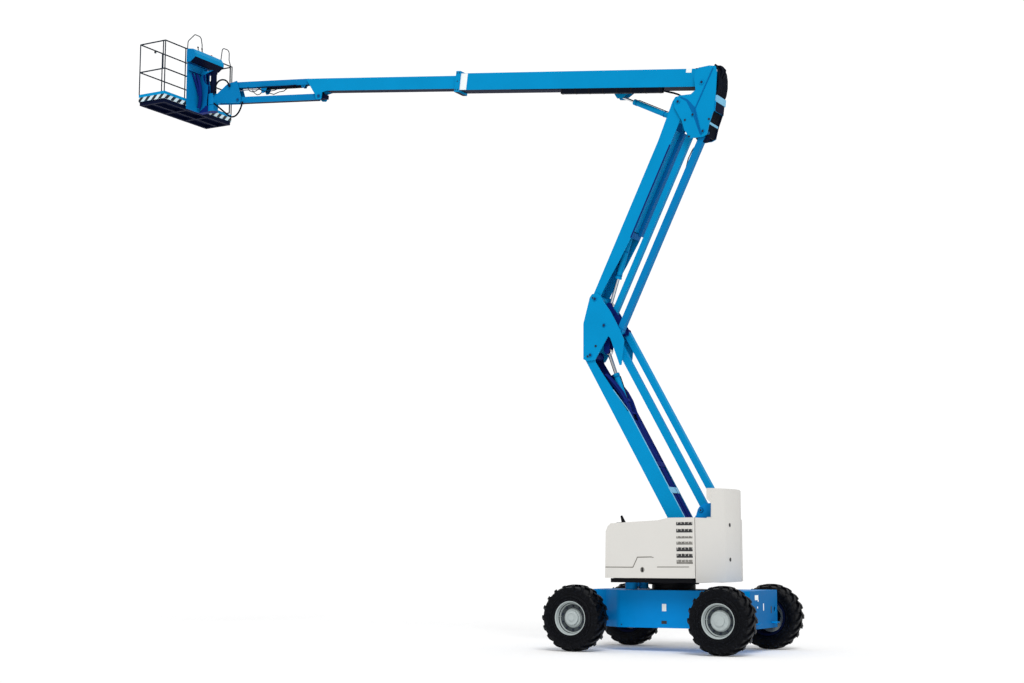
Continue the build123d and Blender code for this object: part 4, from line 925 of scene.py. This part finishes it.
# painted shade: navy curved tubes along the mount stand for its shading
add_tube(bm, [(9834, 180, 10730), (9800, 170, 10640), (9760, 160, 10500), (9740, 150, 10330), (9760, 140, 10180), (9800, 130, 10060)], 34, 12)
add_tube(bm, [(9838, 300, 10720), (9812, 250, 10600), (9790, 190, 10450), (9784, 150, 10300)], 22, 10)
finish_bm("mount_shade_bends", bm, MAT["painted_shade_navy"], "platform", smooth=60)
bm = bmesh.new()
for k in range(8):
    a = 2 * math.pi * k / 8
    hex_bolt(bm, (9550 + 80 * math.cos(a), 80 * math.sin(a), 9986), (0, 0, -1), 9, 8)
finish_bm("rotator_bolts", bm, MAT["bolt"], "platform")

# ------------------------------------------------------------------ hoses at the jib's outer end
def nurbs(name, pts, r, body, node):
    cu = bpy.data.curves.new(name, "CURVE")
    cu.dimensions = "3D"
    sp = cu.splines.new("NURBS")
    sp.points.add(len(pts) - 1)
    for q, p in zip(sp.points, pts):
        v = M(*p)
        q.co = (v.x, v.y, v.z, 1.0)
    sp.order_u = 3
    sp.use_endpoint_u = True
    sp.resolution_u = 8
    cu.bevel_depth = r / 1000.0
    cu.bevel_resolution = 4
    cu.use_fill_caps = True
    cu.materials.append(MAT["black_plastic"])
    o = bpy.data.objects.new(name, cu)
    bpy.context.scene.collection.objects.link(o)
    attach(o, body)
    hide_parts(node)
    return o


HOSES = {
    "hose_upper": [(9080, 97, 10395), (9112, 100, 10505), (9265, 104, 10575), (9420, 104, 10505), (9462, 98, 10290)],
    "hose_lower": [(8760, 95, 10060), (8785, 100, 9930), (8895, 105, 9790), (9040, 105, 9785), (9200, 105, 9925), (9452, 98, 10120)],
}
for name, pts in HOSES.items():
    o = nurbs(name + "_line", pts, 16.0, "jib_head", name)
    L = 0.0
    dg = bpy.context.evaluated_depsgraph_get()
    cu = o.data.copy()
    cu.bevel_depth = 0.0
    tmp = bpy.data.objects.new("tmp", cu)
    bpy.context.scene.collection.objects.link(tmp)
    bpy.context.view_layer.update()
    me = bpy.data.meshes.new_from_object(tmp.evaluated_get(bpy.context.evaluated_depsgraph_get()))
    for e in me.edges:
        L += (me.vertices[e.vertices[0]].co - me.vertices[e.vertices[1]].co).length
    bpy.data.objects.remove(tmp)

# ------------------------------------------------------------------ camera, floor, light
scene = bpy.context.scene
cam = bpy.data.cameras.new("camera")
cam.lens = 57.296
cam.sensor_width = 36.0
cam.clip_end = 400.0
co = bpy.data.objects.new("camera", cam)
scene.collection.objects.link(co)
co.location = (-10.4374 - XC, 24.0006, 1.4880)
az, el = math.radians(-60.8872), math.radians(7.4571)
fwd = Vector((math.cos(az) * math.cos(el), math.sin(az) * math.cos(el), math.sin(el)))
co.rotation_mode = "QUATERNION"
co.rotation_quaternion = fwd.to_track_quat("-Z", "Y")
scene.camera = co

me = bpy.data.meshes.new("floor")
R = 150.0
me.from_pydata([(-R, -R, 0), (R, -R, 0), (R, R, 0), (-R, R, 0)], [], [(0, 1, 2, 3)])
floor = bpy.data.objects.new("floor", me)
scene.collection.objects.link(floor)
fm = bpy.data.materials.new("floor_pale")
fm.use_nodes = True
fb = fm.node_tree.nodes["Principled BSDF"]
fb.inputs["Base Color"].default_value = (0.93, 0.93, 0.93, 1)
fb.inputs["Roughness"].default_value = 0.9
fb.inputs["Specular IOR Level"].default_value = 0.0
fb.inputs["Emission Color"].default_value = (1.0, 1.0, 1.0, 1)
fb.inputs["Emission Strength"].default_value = 0.09
me.materials.append(fm)

w = bpy.data.worlds.new("world")
scene.world = w
w.use_nodes = True
wn, wl = w.node_tree.nodes, w.node_tree.links
bg = wn["Background"]
bg.inputs["Color"].default_value = (1.0, 1.0, 1.0, 1)
bg.inputs["Strength"].default_value = 0.62
seen = wn.new("ShaderNodeBackground")
seen.inputs["Color"].default_value = (1.0, 1.0, 1.0, 1)
seen.inputs["Strength"].default_value = 1.05
lp = wn.new("ShaderNodeLightPath")
pick = wn.new("ShaderNodeMixShader")
wl.new(lp.outputs["Is Camera Ray"], pick.inputs[0])
wl.new(bg.outputs[0], pick.inputs[1])
wl.new(seen.outputs[0], pick.inputs[2])
wl.new(pick.outputs[0], wn["World Output"].inputs["Surface"])

# a broad soft light from high on the machine's left
sun = bpy.data.lights.new("key", "SUN")
sun.energy = 1.75
sun.angle = math.radians(25)
so = bpy.data.objects.new("key", sun)
scene.collection.objects.link(so)
so.rotation_mode = "QUATERNION"
so.rotation_quaternion = Vector((0.45, -0.65, -0.80)).to_track_quat("-Z", "Y")
scene.view_settings.view_transform = "Standard"
scene.view_settings.look = "None"
